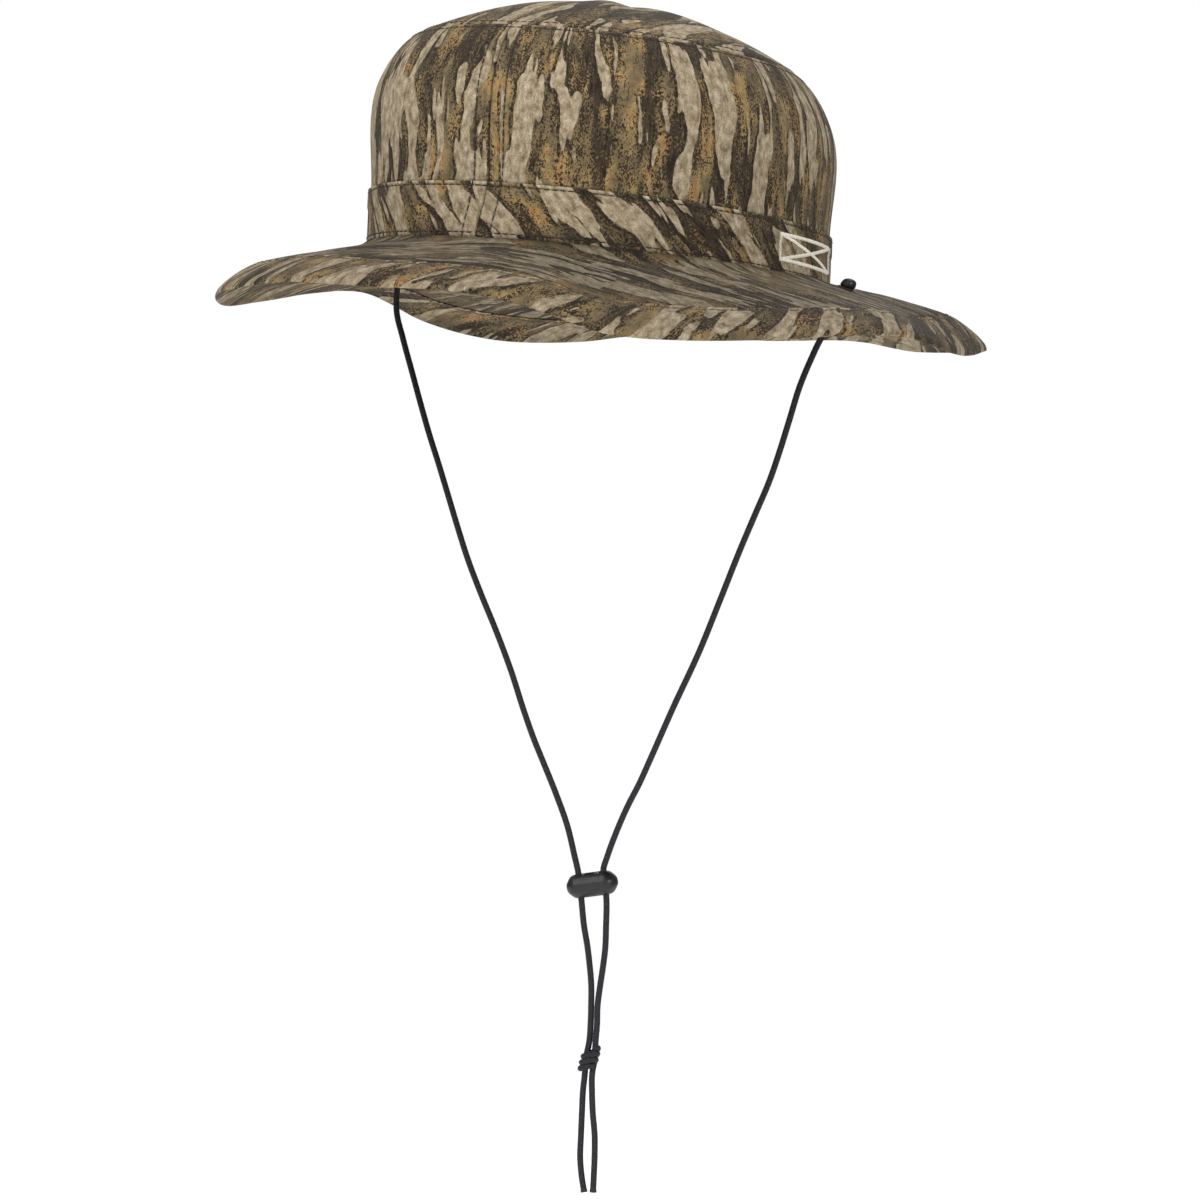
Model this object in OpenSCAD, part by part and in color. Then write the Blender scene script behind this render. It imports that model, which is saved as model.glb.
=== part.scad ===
// Boonie hat: soft oval crown in two side panels and a domed tip, a band, a stiffened wavy brim,
// a sweatband and lining inside, and a chin cord with a sliding two-hole lock.
// Origin: centre of the head opening, in the plane of the crown and brim seam.
// +Z is up, -Y is the wearer's front and +X is the wearer's left.

/* [Crown] */
// Length of the crown at the brim seam, front to back, outside
crown_len = 206; // [190:1:220]
// Width of the crown at the brim seam, outside
crown_wid = 174; // [160:1:190]
// Height of the top seam above the brim seam
seam_h = 81; // [70:1:95]
// How far the top seam lies inside the crown's outline
seam_in = 14; // [8:1:20]
// Rise of the domed tip above the top seam
dome_h = 20; // [10:1:30]
// Height of the outer band
band_h = 20; // [15:1:30]
// Sideways lean of the soft crown at the top seam, towards the wearer's right
lean = 4; // [0:0.5:8]

/* [Brim] */
// Width of the stitched edge facing, as a share of the brim's width
facing = 0.25; // [0.15:0.01:0.35]
// Sharpness of the roll at the brim's edge, from straight to rolled
roll = 0.3; // [0.2:0.01:0.4]
// How much that sharpness changes from one side of the hat to the other
roll_wave = 0.15; // [0:0.01:0.15]
// Rise of the brim's root above the opening at the wearer's left
root_lift = 3; // [0:0.5:4]

/* [Cloth] */
// Thickness of the shell cloth in the crown and the band
shell_t = 0.7; // [0.5:0.1:0.7]
// Thickness of the brim's cloth plies
ply_t = 0.6; // [0.4:0.1:0.8]
// Thickness of the brim's stiffener
stiff_t = 1.3; // [0.8:0.1:1.6]
// Thickness of the lining and the seam tapes
tape_t = 0.35; // [0.2:0.05:0.4]
// Thickness of the sweatband
sweat_t = 1; // [0.6:0.1:1.5]
// Height of the sweatband
sweat_h = 32; // [25:1:40]

/* [Chin cord] */
// Diameter of the braided cord
cord_d = 2.5; // [2:0.1:2.6]
// Length of the lock, across its two holes
lock_l = 21.5; // [20:0.5:24]
// Height of the lock, along its holes
lock_h = 10; // [10:0.5:12]
// Thickness of the lock
lock_t = 10; // [9:0.5:11]
// Distance between the lock's two holes
hole_gap = 11; // [11:0.1:11.5]
// Clearance of the cord in the lock's holes, on the radius
hole_room = 0.25; // [0.15:0.05:0.3]
// Width of the knot
knot_d = 8; // [7:0.5:9]
// Width of the stopper knot on top of each eyelet
stop_d = 5.6; // [5:0.1:6]

/* [Hidden] */

// Angles run round the hat from the front, through the wearer's left, at one step everywhere,
// so that cloth layers share their edges and lie on each other face to face.
step = 5;
turn = 360;
whole = [0 : step : turn - step];
left_half = [0 : step : turn / 2];
right_half = [turn / 2 : step : turn];
half_w = crown_wid / 2;
half_l = crown_len / 2;
under = -2.5;

// Edge droop of the brim, as [angle, drop]: low at the front left, at the right and behind
droop = [[0, 23], [10, 23.5], [20, 27], [30, 33.5], [38, 33.5], [55, 29], [70, 22], [80, 21],
    [90, 22.5], [102, 21], [118, 16], [135, 14], [150, 13], [163, 9], [180, 10], [200, 12],
    [212, 18], [225, 21], [238, 17], [250, 9], [262, 12.5], [275, 20], [288, 25], [300, 26],
    [320, 24], [340, 23]];
// Reach of the brim's edge beyond the crown, as [angle, reach]
reach = [[0, 57], [40, 57], [70, 60], [90, 60], [100, 59], [125, 65], [150, 63], [180, 61],
    [210, 60], [240, 58], [270, 56], [300, 56], [330, 56]];

// Smooth closed curve through [angle, value] points
function entry(list, i) = let(n = len(list), k = floor(i / n)) list[i - k * n] + [turn * k, 0];
function ease(p0, p1, p2, p3, a) =
    let(h = p2[0] - p1[0], q = (a - p1[0]) / h)
    let(m1 = (p2[1] - p0[1]) / (p2[0] - p0[0]) * h, m2 = (p3[1] - p1[1]) / (p3[0] - p1[0]) * h)
    (2 * q^3 - 3 * q^2 + 1) * p1[1] + (q^3 - 2 * q^2 + q) * m1
    + (3 * q^2 - 2 * q^3) * p2[1] + (q^3 - q^2) * m2;
function curve(list, angle) =
    let(a = angle % turn, i = max([for (k = [0 : len(list) - 1]) if (list[k][0] <= a) k]))
    ease(entry(list, i - 1), entry(list, i), entry(list, i + 1), entry(list, i + 2), a);

// A soft bump of height 1, wide degrees to each side of the angle at
function bump(angle, at, wide) = exp(-pow((angle - at) / wide, 2));

// Brim surface: s runs from 0 at the crown to 1 at the edge
left_wing = 115;
left_wide = 26;
roll_side = 250;
root_drop = 0.09;
root_run = 0.05;
function edge_roll(a) = roll + roll_wave * cos(a - roll_side) + 0.45 * bump(a, left_wing, left_wide);
function root_share(a) = root_drop * (1 - bump(a, left_wing, left_wide));
function brim_share(a, s) =
    let(e = edge_roll(a), k = root_share(a))
    k * (1 - exp(-s / root_run)) + (1 - k - e) * s + e * s^6;
function brim_z(a, s) =
    root_lift * bump(a, left_wing, 45) * (1 - s)^2 - curve(droop, a) * brim_share(a, s);

// The crown leans a little sideways as it rises
function shift(z) = -lean * max(z, 0) / seam_h;
function ring_point(a, grow, z) =
    [(half_w + grow) * sin(a) + shift(z), -(half_l + grow) * cos(a), z];
function brim_point(a, s, dz) = ring_point(a, s * curve(reach, a), brim_z(a, s) + dz);

// Crown wall: how far it lies inside the outline at a height
shoulder_z = seam_h - 17;
wall = [[under, 0], [0, 0], [band_h, 0.3], [shoulder_z, 2], [seam_h - 10, seam_in - 8.5],
    [seam_h - 5, seam_in - 5], [seam_h, seam_in]];
function wall_in(z) = lookup(z, wall);
wall_z = [for (w = wall) w[0]];

// Depths of the layers, from the outline inwards
side_out = shell_t;
side_in = 2 * shell_t;
tape_out = side_in + 0.1;
lining_out = tape_out + tape_t + 0.05;
lining_in = lining_out + tape_t;
binding_out = side_in + 0.05;
binding_in = binding_out + 0.6;
sweat_out = 2.7;
sweat_in = sweat_out + sweat_t;

// Whether a section heads outwards or down from one point to the next. It picks the diagonal that splits
// each facet, so that two layers which touch are split alike.
function goes_out(from, to) = norm([to[0], to[1]]) - to[2] > norm([from[0], from[1]]) - from[2];

// A strip of cloth: one cross-section at each angle, joined round the hat. A section goes out along
// one face of the cloth and back along the other, so an open strip's ends close rung by rung.
module strip(sections, closed) {
    n = len(sections);
    k = len(sections[0]);
    points = [for (s = sections) each s];
    last = closed ? n - 1 : n - 2;
    skin = [for (i = [0 : last], j = [0 : k - 1])
        let(a = i * k, b = ((i + 1) % n) * k, m = (j + 1) % k)
        each goes_out(points[a + j], points[a + m])
            ? [[a + j, b + j, a + m], [b + j, b + m, a + m]]
            : [[a + j, b + j, b + m], [a + j, b + m, a + m]]];
    rungs = [for (j = [0 : k / 2 - 2]) [j, j + 1, k - 2 - j, k - 1 - j]];
    first_end = [for (r = rungs) each [[r[0], r[1], r[2]], [r[0], r[2], r[3]]]];
    last_end = [for (f = first_end) [for (i = [2 : -1 : 0]) f[i] + (n - 1) * k]];
    polyhedron(points, closed ? skin : concat(skin, first_end, last_end), convexity = 8);
}

// A closed skin of rings, each end drawn in to one point
module rings_solid(rings, start, finish) {
    n = len(rings[0]);
    m = len(rings);
    points = concat([start], [for (r = rings) each r], [finish]);
    fan_in = [for (i = [0 : n - 1]) [0, 1 + i, 1 + (i + 1) % n]];
    skin = [for (j = [0 : m - 2], i = [0 : n - 1])
        let(a = 1 + j * n, b = a + n, k = (i + 1) % n)
        each [[a + i, b + i, b + k], [a + i, b + k, a + k]]];
    fan_out = [for (i = [0 : n - 1]) [m * n + 1, 1 + (m - 1) * n + (i + 1) % n, 1 + (m - 1) * n + i]];
    polyhedron(points, concat(fan_in, skin, fan_out), convexity = 8);
}

// Cloth that follows the crown wall between two depths, at the given heights
function wall_section(a, outer, inner, heights) =
    concat([for (z = heights) ring_point(a, -wall_in(z) - outer, z)],
        [for (i = [len(heights) - 1 : -1 : 0])
            ring_point(a, -wall_in(heights[i]) - inner, heights[i])]);
module wall_cloth(angles, outer, inner, heights, closed = false) {
    strip([for (a = angles) wall_section(a, outer, inner, heights)], closed);
}

// Cloth that follows the brim between two depths, at the given shares of its width
function brim_section(a, top, bottom, shares) =
    concat([for (i = [len(shares) - 1 : -1 : 0]) brim_point(a, shares[i], top)],
        [for (s = shares) brim_point(a, s, bottom)]);
module brim_cloth(top, bottom, shares) {
    strip([for (a = whole) brim_section(a, top, bottom, shares)], true);
}
facing_s = 1 - facing;
inner_shares = [0, 0.05, 0.14, 0.28, 0.5, facing_s];
outer_shares = [facing_s, facing_s + 0.11, facing_s + 0.19, 0.985];
stiff_top = -ply_t;
stiff_bottom = stiff_top - stiff_t;
brim_bottom = stiff_bottom - ply_t;

// A dome over the oval: rings at shares of the radius, from its rim up to its middle
dome_shares = [1, 0.93, 0.8, 0.6, 0.35];
function dome_z(share, rise) = rise * (1 - share^2.1);
function dome_ring(share, inset, z) =
    [for (a = whole) [(half_w - inset) * share * sin(a) + shift(seam_h),
        -(half_l - inset) * share * cos(a), z]];
module dome(inset, base, rise, thick) {
    n = len(dome_shares);
    top = [for (i = [n - 1 : -1 : 0])
        dome_ring(dome_shares[i], inset, base + thick + dome_z(dome_shares[i], rise))];
    bottom = [for (s = dome_shares) dome_ring(s, inset, base + dome_z(s, rise))];
    middle = [shift(seam_h), 0, base + rise];
    rings_solid(concat(top, bottom), middle + [0, 0, thick], middle);
}

// Eyelets: one at each side, in the middle of a flat stretch of the brim just outside the crown
eye_a = 97.5;
eye_lo = 0.14;
eye_hi = 0.28;
eye_wall = 0.45;
eye_bore = cord_d / 2 + 0.3;
eye_flange = 3.6;
eye_lip = 0.4;
eye_gap = 0.05;
washer_t = 0.4;
function eye_corners(a) = [for (s = [eye_lo, eye_hi], d = [-step / 2, step / 2]) brim_point(a + d, s, 0)];
function middle(list) = [for (i = [0 : 2]) (list[0][i] + list[1][i] + list[2][i] + list[3][i]) / 4];
function eye_place(a) = middle(eye_corners(a));
function eye_normal(a) =
    let(c = eye_corners(a), n = cross(c[3] - c[0], c[2] - c[1]))
    n[2] < 0 ? -n / norm(n) : n / norm(n);
module at_eye(a) {
    n = eye_normal(a);
    translate(eye_place(a)) rotate([0, acos(n[2]), atan2(n[1], n[0])]) children();
}
module eye_holes() {
    hole_h = 12;
    for (a = [eye_a, turn - eye_a]) {
        at_eye(a) cylinder(h = hole_h, r = eye_bore + eye_wall + 0.15, center = true, $fn = 48);
    }
}
module eyelet(a) {
    reach_down = -brim_bottom + eye_gap + washer_t;
    color("#2f2a22") at_eye(a) rotate_extrude($fn = 48) {
        translate([eye_bore, -reach_down]) square([eye_wall, reach_down + eye_gap]);
        translate([eye_bore, eye_gap]) square([eye_flange - eye_bore, eye_lip]);
    }
}
module washer(a) {
    inner = eye_bore + eye_wall + 0.02;
    color("#2f2a22") at_eye(a) rotate_extrude($fn = 48)
        translate([inner, brim_bottom - eye_gap - washer_t]) square([eye_flange - inner, washer_t]);
}

// Cord: rings of eight points swept along a route, drawn in at both ends
cord_y = 15;
cord_sides = 8;
function hang(list) = [for (p = list) [p[0], cord_y, p[1]]];
function unit(v) = v / norm(v);
function heading(route, i) =
    let(n = len(route) - 1) unit(route[min(i + 1, n)] - route[max(i - 1, 0)]);
function cord_ring(at, way, r) =
    let(side = [0, 1, 0], up = cross(way, side))
    [for (k = [0 : cord_sides - 1])
        let(a = turn * k / cord_sides) at + r * (cos(a) * side + sin(a) * up)];
module cord(route) {
    rings = [for (i = [0 : len(route) - 1]) cord_ring(route[i], heading(route, i), cord_d / 2)];
    color("#17191d") rings_solid(rings, route[0], route[len(route) - 1]);
}

// Routes in the hanging plane, as [x, z]
hinge_z = -8;
strand_right = hang([[-98, hinge_z], [-98.2, -14], [-97.6, -20], [-93.5, -31], [-88, -44], [-82.5, -57],
    [-77, -69.5], [-71.5, -81], [-66, -93], [-60.5, -105], [-54.5, -117.5], [-47, -131], [-39, -144.5],
    [-30.5, -160], [-23, -175.5], [-17.5, -186], [-12.5, -194.5], [-5.5, -206.5], [1, -219],
    [5, -229.5], [7.5, -236.4], [8.64, -241.24]]);
strand_left = hang([[98, hinge_z], [96.5, -11], [93.8, -15], [90.2, -20.5], [86.2, -30], [82.8, -40],
    [79.8, -53], [77, -65], [73.8, -77], [69.2, -90], [64.6, -103], [57.6, -124.5], [51, -144.5],
    [41.6, -168.5], [34, -189], [30.4, -198.5], [26.2, -208], [22.2, -219], [19.4, -228.5],
    [18.24, -233.9], [19.36, -238.76]]);
loop_right = hang([[8.64, -241.24], [9.8, -246.1], [12.2, -257], [14.3, -264], [16, -271], [17.6, -279],
    [18.4, -287], [18.9, -294], [19, -301.5]]);
loop_left = hang([[19.36, -238.76], [20.48, -243.6], [21.7, -256], [22.2, -264], [22, -271],
    [21.5, -279], [21.2, -287], [21.7, -294], [21.8, -301.5]]);
tail_right = hang([[18.4, -313.5], [18.3, -321], [18.7, -329], [19.2, -338], [19.8, -347], [21.2, -354],
    [22.8, -359.5]]);
tail_left = hang([[21.6, -313.5], [22.3, -321], [23.4, -328.5], [25.1, -337], [26, -346],
    [26.4, -353], [26.7, -359]]);

// Sealed ends of the tails, domed past the last point of the route
module tip(route) {
    n = len(route) - 1;
    way = heading(route, n);
    color("#0e0f12") translate(route[n]) rotate([0, acos(way[2]), atan2(way[1], way[0])])
        rotate_extrude($fn = 32) intersection() {
            circle(r = cord_d / 2);
            square(cord_d);
        }
}

// Knot and lock on the cord
knot_x = 20;
knot_top = -301.5;
knot_h = 12;
knot_edge = 2;
module knot_outline(r, h, edge) {
    square([r - edge, h]);
    translate([0, edge]) square([r, h - 2 * edge]);
    for (z = [edge, h - edge]) {
        translate([r - edge, z]) circle(r = edge, $fn = 32);
    }
}
module barrel(r, h, edge) {
    rotate_extrude($fn = 64) intersection() {
        knot_outline(r, h, edge);
        square([r, h]);
    }
}
lock_x = 14;
lock_z = -240;
lock_tilt = 13;
lock_edge = 3;
recess_w = 4;
recess_d = 1.5;
module at_lock() {
    translate([lock_x, cord_y, lock_z]) rotate([0, -lock_tilt, 0]) children();
}
module lock_bar() {
    inner = lock_t - 2 * lock_edge;
    rotate([90, 0, 90]) linear_extrude(lock_l - lock_t, center = true) {
        square([inner, lock_h], center = true);
        square([lock_t, lock_h - 2 * lock_edge], center = true);
        for (y = [-1, 1], z = [-1, 1]) {
            translate([y * inner / 2, z * (lock_h / 2 - lock_edge)]) circle(r = lock_edge, $fn = 48);
        }
    }
}

module crown_tip() {
    color("#7a6f5c") dome(seam_in + side_out, seam_h, dome_h, shell_t);
}
module crown_side(angles) {
    color("#8a7f6c") wall_cloth(angles, side_out, side_in, wall_z);
}
module crown_band(angles) {
    color("#6f6450") wall_cloth(angles, 0, side_out, [under, 0, band_h]);
}
module brim_top_ply() {
    color("#857a64") difference() {
        brim_cloth(0, stiff_top, inner_shares);
        eye_holes();
    }
}
module brim_interlining() {
    color("#d8d4c8") difference() {
        brim_cloth(stiff_top, stiff_bottom, concat(inner_shares, [for (i = [1 : 3]) outer_shares[i]]));
        eye_holes();
    }
}
module brim_under_ply() {
    color("#7d725d") difference() {
        brim_cloth(stiff_bottom, brim_bottom, inner_shares);
        eye_holes();
    }
}
module brim_edge_facing() {
    rim = [[0.985, -0.1], [1, -0.8], [1, brim_bottom + 0.8], [0.985, brim_bottom + 0.1]];
    outline = concat([for (i = [0 : 2]) [outer_shares[i], brim_bottom]],
        [for (i = [3 : -1 : 0]) rim[i]],
        [for (i = [2 : -1 : 0]) [outer_shares[i], 0]],
        [for (i = [0 : 3]) [outer_shares[i], stiff_top]],
        [for (i = [3 : -1 : 0]) [outer_shares[i], stiff_bottom]]);
    color("#94876c") strip([for (a = whole) [for (p = outline) brim_point(a, p[0], p[1])]], true);
}
module sweatband() {
    color("#23241f") wall_cloth(whole, sweat_out, sweat_in, [under, 0, band_h, sweat_h], true);
}
lining_z = seam_h - 5.5;
module lining_tip() {
    color("#3d3b31") dome(wall_in(lining_z) + lining_in + 0.1, lining_z, dome_h - 1, tape_t);
}
module lining_side(angles) {
    color("#3d3b31")
        wall_cloth(angles, lining_out, lining_in, [8, band_h, shoulder_z, seam_h - 10, lining_z]);
}
module seam_tape(middle_angle) {
    color("#55503f") wall_cloth([for (d = [-step, 0, step]) middle_angle + d], tape_out,
        tape_out + tape_t, [8, band_h, shoulder_z, seam_h - 10, lining_z]);
}
module top_seam_binding() {
    color("#55503f") wall_cloth(whole, binding_out, binding_in, [seam_h - 5, seam_h - 0.5], true);
}
module root_seam_binding() {
    color("#55503f") wall_cloth(whole, binding_out, binding_in, [under, 0, 7], true);
}
module size_label() {
    color("#e8e4d8") wall_cloth([for (a = [170 : step : 190]) a], sweat_in, sweat_in + 0.4, [5, band_h]);
}
module side_badge() {
    color("#e2dccb") wall_cloth([for (a = [80 : step : 105]) a], -0.6, 0, [4, 16]);
}
module cord_stop(a) {
    stop_h = 4.2;
    stop_gap = 0.05;
    stub_r = cord_d / 2;
    stub_l = -brim_bottom + 2 * eye_gap + washer_t + eye_lip;
    color("#17191d") at_eye(a) translate([0, 0, eye_lip + 2 * eye_gap + stop_gap]) {
        barrel(stop_d / 2, stop_h, 2);
        translate([0, 0, -stub_l]) cylinder(h = stub_l, r = stub_r, $fn = 48);
    }
}
module cord_knot() {
    color("#17191d") translate([knot_x, cord_y, knot_top - knot_h]) barrel(knot_d / 2, knot_h, knot_edge);
}
module cord_lock() {
    hole_r = cord_d / 2 + hole_room;
    color("#101114") at_lock() difference() {
        union() {
            lock_bar();
            for (side = [-1, 1]) {
                translate([side * (lock_l - lock_t) / 2, 0, -lock_h / 2])
                    barrel(lock_t / 2, lock_h, lock_edge);
            }
        }
        for (side = [-1, 1]) {
            translate([side * hole_gap / 2, 0, 0])
                cylinder(h = 2 * lock_h, r = hole_r, center = true, $fn = 48);
        }
        translate([0, 0, lock_h / 2]) cube([recess_w, recess_w, 2 * recess_d], center = true);
    }
}

crown_tip();
crown_side(left_half);  // crown_side_left
crown_side(right_half);  // crown_side_right
crown_band(left_half);  // crown_band_left
crown_band(right_half);  // crown_band_right
brim_top_ply();
brim_interlining();
brim_under_ply();
brim_edge_facing();
sweatband();
lining_tip();
lining_side(left_half);  // lining_side_left
lining_side(right_half);  // lining_side_right
seam_tape(turn);  // front_seam_tape
seam_tape(turn / 2);  // back_seam_tape
top_seam_binding();
root_seam_binding();
size_label();
side_badge();
eyelet(eye_a);  // eyelet_left
eyelet(turn - eye_a);  // eyelet_right
washer(eye_a);  // eyelet_washer_left
washer(turn - eye_a);  // eyelet_washer_right
cord_stop(eye_a);  // cord_stop_left
cord_stop(turn - eye_a);  // cord_stop_right
cord(strand_left);  // cord_strand_left
cord(strand_right);  // cord_strand_right
cord(loop_left);  // cord_loop_left
cord(loop_right);  // cord_loop_right
cord_knot();
cord(tail_left);  // cord_tail_left
cord(tail_right);  // cord_tail_right
tip(tail_left);  // cord_tip_left
tip(tail_right);  // cord_tip_right
cord_lock();
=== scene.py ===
"""Boonie hat in bark-print cloth, with its stitching, trim, eyelets and braided chin cord.

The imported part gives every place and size. The crown and the brim are read back from its cloth nodes,
smoothed, and remade as sewn cloth with thickness, folded edges, soft waves and puckers. Lengths are in
metres, in the part's own frame: +Z up, -Y the wearer's front, +X the wearer's left.
"""

import logging
import math
from dataclasses import dataclass, field
from enum import Enum

import bpy
import numpy as np
from mathutils import Matrix, Vector


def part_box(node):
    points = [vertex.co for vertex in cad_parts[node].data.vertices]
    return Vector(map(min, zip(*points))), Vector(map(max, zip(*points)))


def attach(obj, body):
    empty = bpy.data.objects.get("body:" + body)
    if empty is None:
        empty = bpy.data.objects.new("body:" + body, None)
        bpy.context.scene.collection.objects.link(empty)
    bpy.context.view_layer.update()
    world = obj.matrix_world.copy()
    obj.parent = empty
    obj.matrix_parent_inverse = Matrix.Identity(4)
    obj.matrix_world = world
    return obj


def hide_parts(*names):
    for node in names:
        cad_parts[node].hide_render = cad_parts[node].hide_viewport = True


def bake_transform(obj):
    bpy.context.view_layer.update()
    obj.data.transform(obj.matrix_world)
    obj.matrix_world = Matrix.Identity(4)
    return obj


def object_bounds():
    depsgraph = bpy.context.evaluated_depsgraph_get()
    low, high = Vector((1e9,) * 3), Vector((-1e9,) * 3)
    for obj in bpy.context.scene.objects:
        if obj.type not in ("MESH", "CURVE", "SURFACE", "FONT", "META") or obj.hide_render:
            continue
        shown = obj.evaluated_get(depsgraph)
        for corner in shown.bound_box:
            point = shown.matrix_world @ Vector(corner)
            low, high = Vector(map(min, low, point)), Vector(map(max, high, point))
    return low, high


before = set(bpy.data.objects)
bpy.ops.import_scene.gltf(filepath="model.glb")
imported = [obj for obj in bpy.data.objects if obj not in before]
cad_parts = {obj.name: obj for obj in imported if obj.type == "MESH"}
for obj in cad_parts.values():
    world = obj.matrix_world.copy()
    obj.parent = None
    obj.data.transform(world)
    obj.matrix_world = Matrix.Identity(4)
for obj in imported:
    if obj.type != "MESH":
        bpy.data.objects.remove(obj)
CAD_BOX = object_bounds()

log = logging.getLogger("boonie_hat")

MM = 0.001
TURN = 2 * math.pi
DOME_POWER = 2.1
Colour = tuple[float, float, float]
Route = list[tuple[float, float]]
Object = bpy.types.Object
Material = bpy.types.Material
Socket = bpy.types.NodeSocket
Inputs = dict[int | str, object]


class Side(Enum):
    """The wearer's sides, with the sign of X on each."""

    LEFT = 1
    RIGHT = -1

    @property
    def word(self) -> str:
        """The side's name as the part's nodes use it."""
        return self.name.lower()


# --- Small numeric helpers ---


def srgb(red: float, green: float, blue: float) -> Colour:
    """Turns a screen colour into the linear colour that a shader takes.

    Args:
        red, green, blue: the screen colour, from 0 to 255 each.

    Returns:
        The linear colour.
    """

    def linear(value: float) -> float:
        share = value / 255
        return share / 12.92 if share < 0.04045 else ((share + 0.055) / 1.055) ** 2.4

    return linear(red), linear(green), linear(blue)


def ease(value: np.ndarray | float, low: float, high: float) -> np.ndarray:
    """Rises smoothly from 0 at low to 1 at high, or falls where low is the larger."""
    share = np.clip((value - low) / (high - low), 0, 1)
    return share * share * (3 - 2 * share)


def bell(value: np.ndarray | float, at: float, wide: float) -> np.ndarray:
    """A smooth bump of height 1 at a place, wide to each side."""
    return np.exp(-(((value - at) / wide) ** 2))


def smooth_curve(knots: np.ndarray, values: np.ndarray, at: np.ndarray) -> np.ndarray:
    """Reads the smooth curve through values, which lie along the first axis at the knots.

    Args:
        knots: rising places of the values.
        values: one value, or one row of values, at each knot.
        at: the places to read.

    Returns:
        The curve's value, or row of values, at each place.
    """
    slope = np.gradient(values, knots, axis=0)
    i = np.clip(np.searchsorted(knots, at, side="right") - 1, 0, len(knots) - 2)
    span = knots[i + 1] - knots[i]
    share = (at - knots[i]) / span
    if values.ndim > 1:
        span, share = span[:, None], share[:, None]
    square, cube = share**2, share**3
    start = (2 * cube - 3 * square + 1) * values[i] + (cube - 2 * square + share) * span * slope[i]
    end = (3 * square - 2 * cube) * values[i + 1] + (cube - square) * span * slope[i + 1]
    return start + end


def node_points(*names: str) -> np.ndarray:
    """All vertices of some of the part's nodes, as rows of x, y and z."""
    meshes = [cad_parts[name].data for name in names]
    return np.array([vertex.co for mesh in meshes for vertex in mesh.vertices], float)


def unit(vectors: np.ndarray) -> np.ndarray:
    """Scales each vector to length 1."""
    return vectors / np.maximum(np.linalg.norm(vectors, axis=-1, keepdims=True), 1e-12)


def even_path(points: np.ndarray, gap: float) -> np.ndarray:
    """Runs one smooth curve through points and divides it evenly.

    Args:
        points: the points, as rows of x, y and z.
        gap: about how far apart the new points are.

    Returns:
        Points along the curve, in equal steps.
    """
    steps = np.linalg.norm(np.diff(points, axis=0), axis=1)
    knots = np.concatenate([[0], np.cumsum(steps)])
    fine = smooth_curve(knots, points, np.linspace(0, knots[-1], 20 * len(points)))
    run = np.concatenate([[0], np.cumsum(np.linalg.norm(np.diff(fine, axis=0), axis=1))])
    places = np.linspace(0, run[-1], max(4, round(run[-1] / gap) + 1))
    return np.stack([np.interp(places, run, fine[:, axis]) for axis in range(3)], axis=1)


def rows_across(low: float, high: float, coarse: float, lines: list[float], near: float = 1.6 * MM,
                fine: float = 0.3 * MM) -> np.ndarray:
    """Distances across a piece of cloth, closer together beside the lines that carry detail.

    Args:
        low: the first distance.
        high: the last distance.
        coarse: the step away from the lines.
        lines: where there is detail, such as a row of stitches.
        near: how far the fine steps reach to each side of a line.
        fine: the step beside a line.

    Returns:
        The distances, rising.
    """
    steps = [np.linspace(low, high, round((high - low) / coarse) + 1)]
    steps += [np.arange(line - near, line + near + fine / 2, fine) for line in lines]
    spots = np.unique(np.clip(np.concatenate(steps), low, high))
    keep = np.concatenate([[True], np.diff(spots) > fine / 3])
    spots = spots[keep]
    spots[-1] = high
    return spots


@dataclass(frozen=True)
class Waves:
    """Soft waves in cloth: whole waves round the hat, with fixed random phases.

    Attributes:
        fewest: smallest number of waves in a turn.
        most: largest number of waves in a turn.
        count: how many waves are added together.
        height: size of the sum, from the middle.
        slant: how far a wave's phase drifts, in turns for each metre across the cloth.
        seed: fixes the draw.
    """

    fewest: int
    most: int
    count: int
    height: float
    slant: float
    seed: int

    def at(self, angle: np.ndarray, across: np.ndarray) -> np.ndarray:
        """Adds up the waves.

        Args:
            angle: angles round the hat.
            across: distances across the cloth.

        Returns:
            The height at each place.
        """
        draw = np.random.default_rng(self.seed)
        total = np.zeros(np.broadcast(angle, across).shape)
        for _ in range(self.count):
            turns = draw.integers(self.fewest, self.most + 1)
            phase = draw.uniform(0, TURN)
            drift = draw.uniform(-self.slant, self.slant) * TURN
            total = total + np.cos(turns * angle + phase + drift * across)
        return self.height * total / math.sqrt(self.count)


# --- Materials ---


class Nodes:
    """A node tree that is being built."""

    def __init__(self, tree: bpy.types.NodeTree) -> None:
        """Starts from an empty tree."""
        self.tree = tree
        self.tree.nodes.clear()

    def put(self, socket: Socket, value: object) -> None:
        """Sets a socket: links it where value is a socket, and otherwise stores the value."""
        if isinstance(value, Socket):
            self.tree.links.new(value, socket)
        elif isinstance(value, tuple) and len(value) == 3 and socket.type == "RGBA":
            socket.default_value = (*value, 1.0)
        else:
            socket.default_value = value

    def node(self, kind: str, inputs: Inputs, **settings: object) -> bpy.types.Node:
        """Adds a node.

        Args:
            kind: Blender's name for the node type.
            inputs: value or socket for each input, by name or number.
            settings: the node's own properties.

        Returns:
            The new node.
        """
        made = self.tree.nodes.new(kind)
        for key, value in settings.items():
            setattr(made, key, value)
        for key, value in inputs.items():
            self.put(made.inputs[key], value)
        return made


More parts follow.
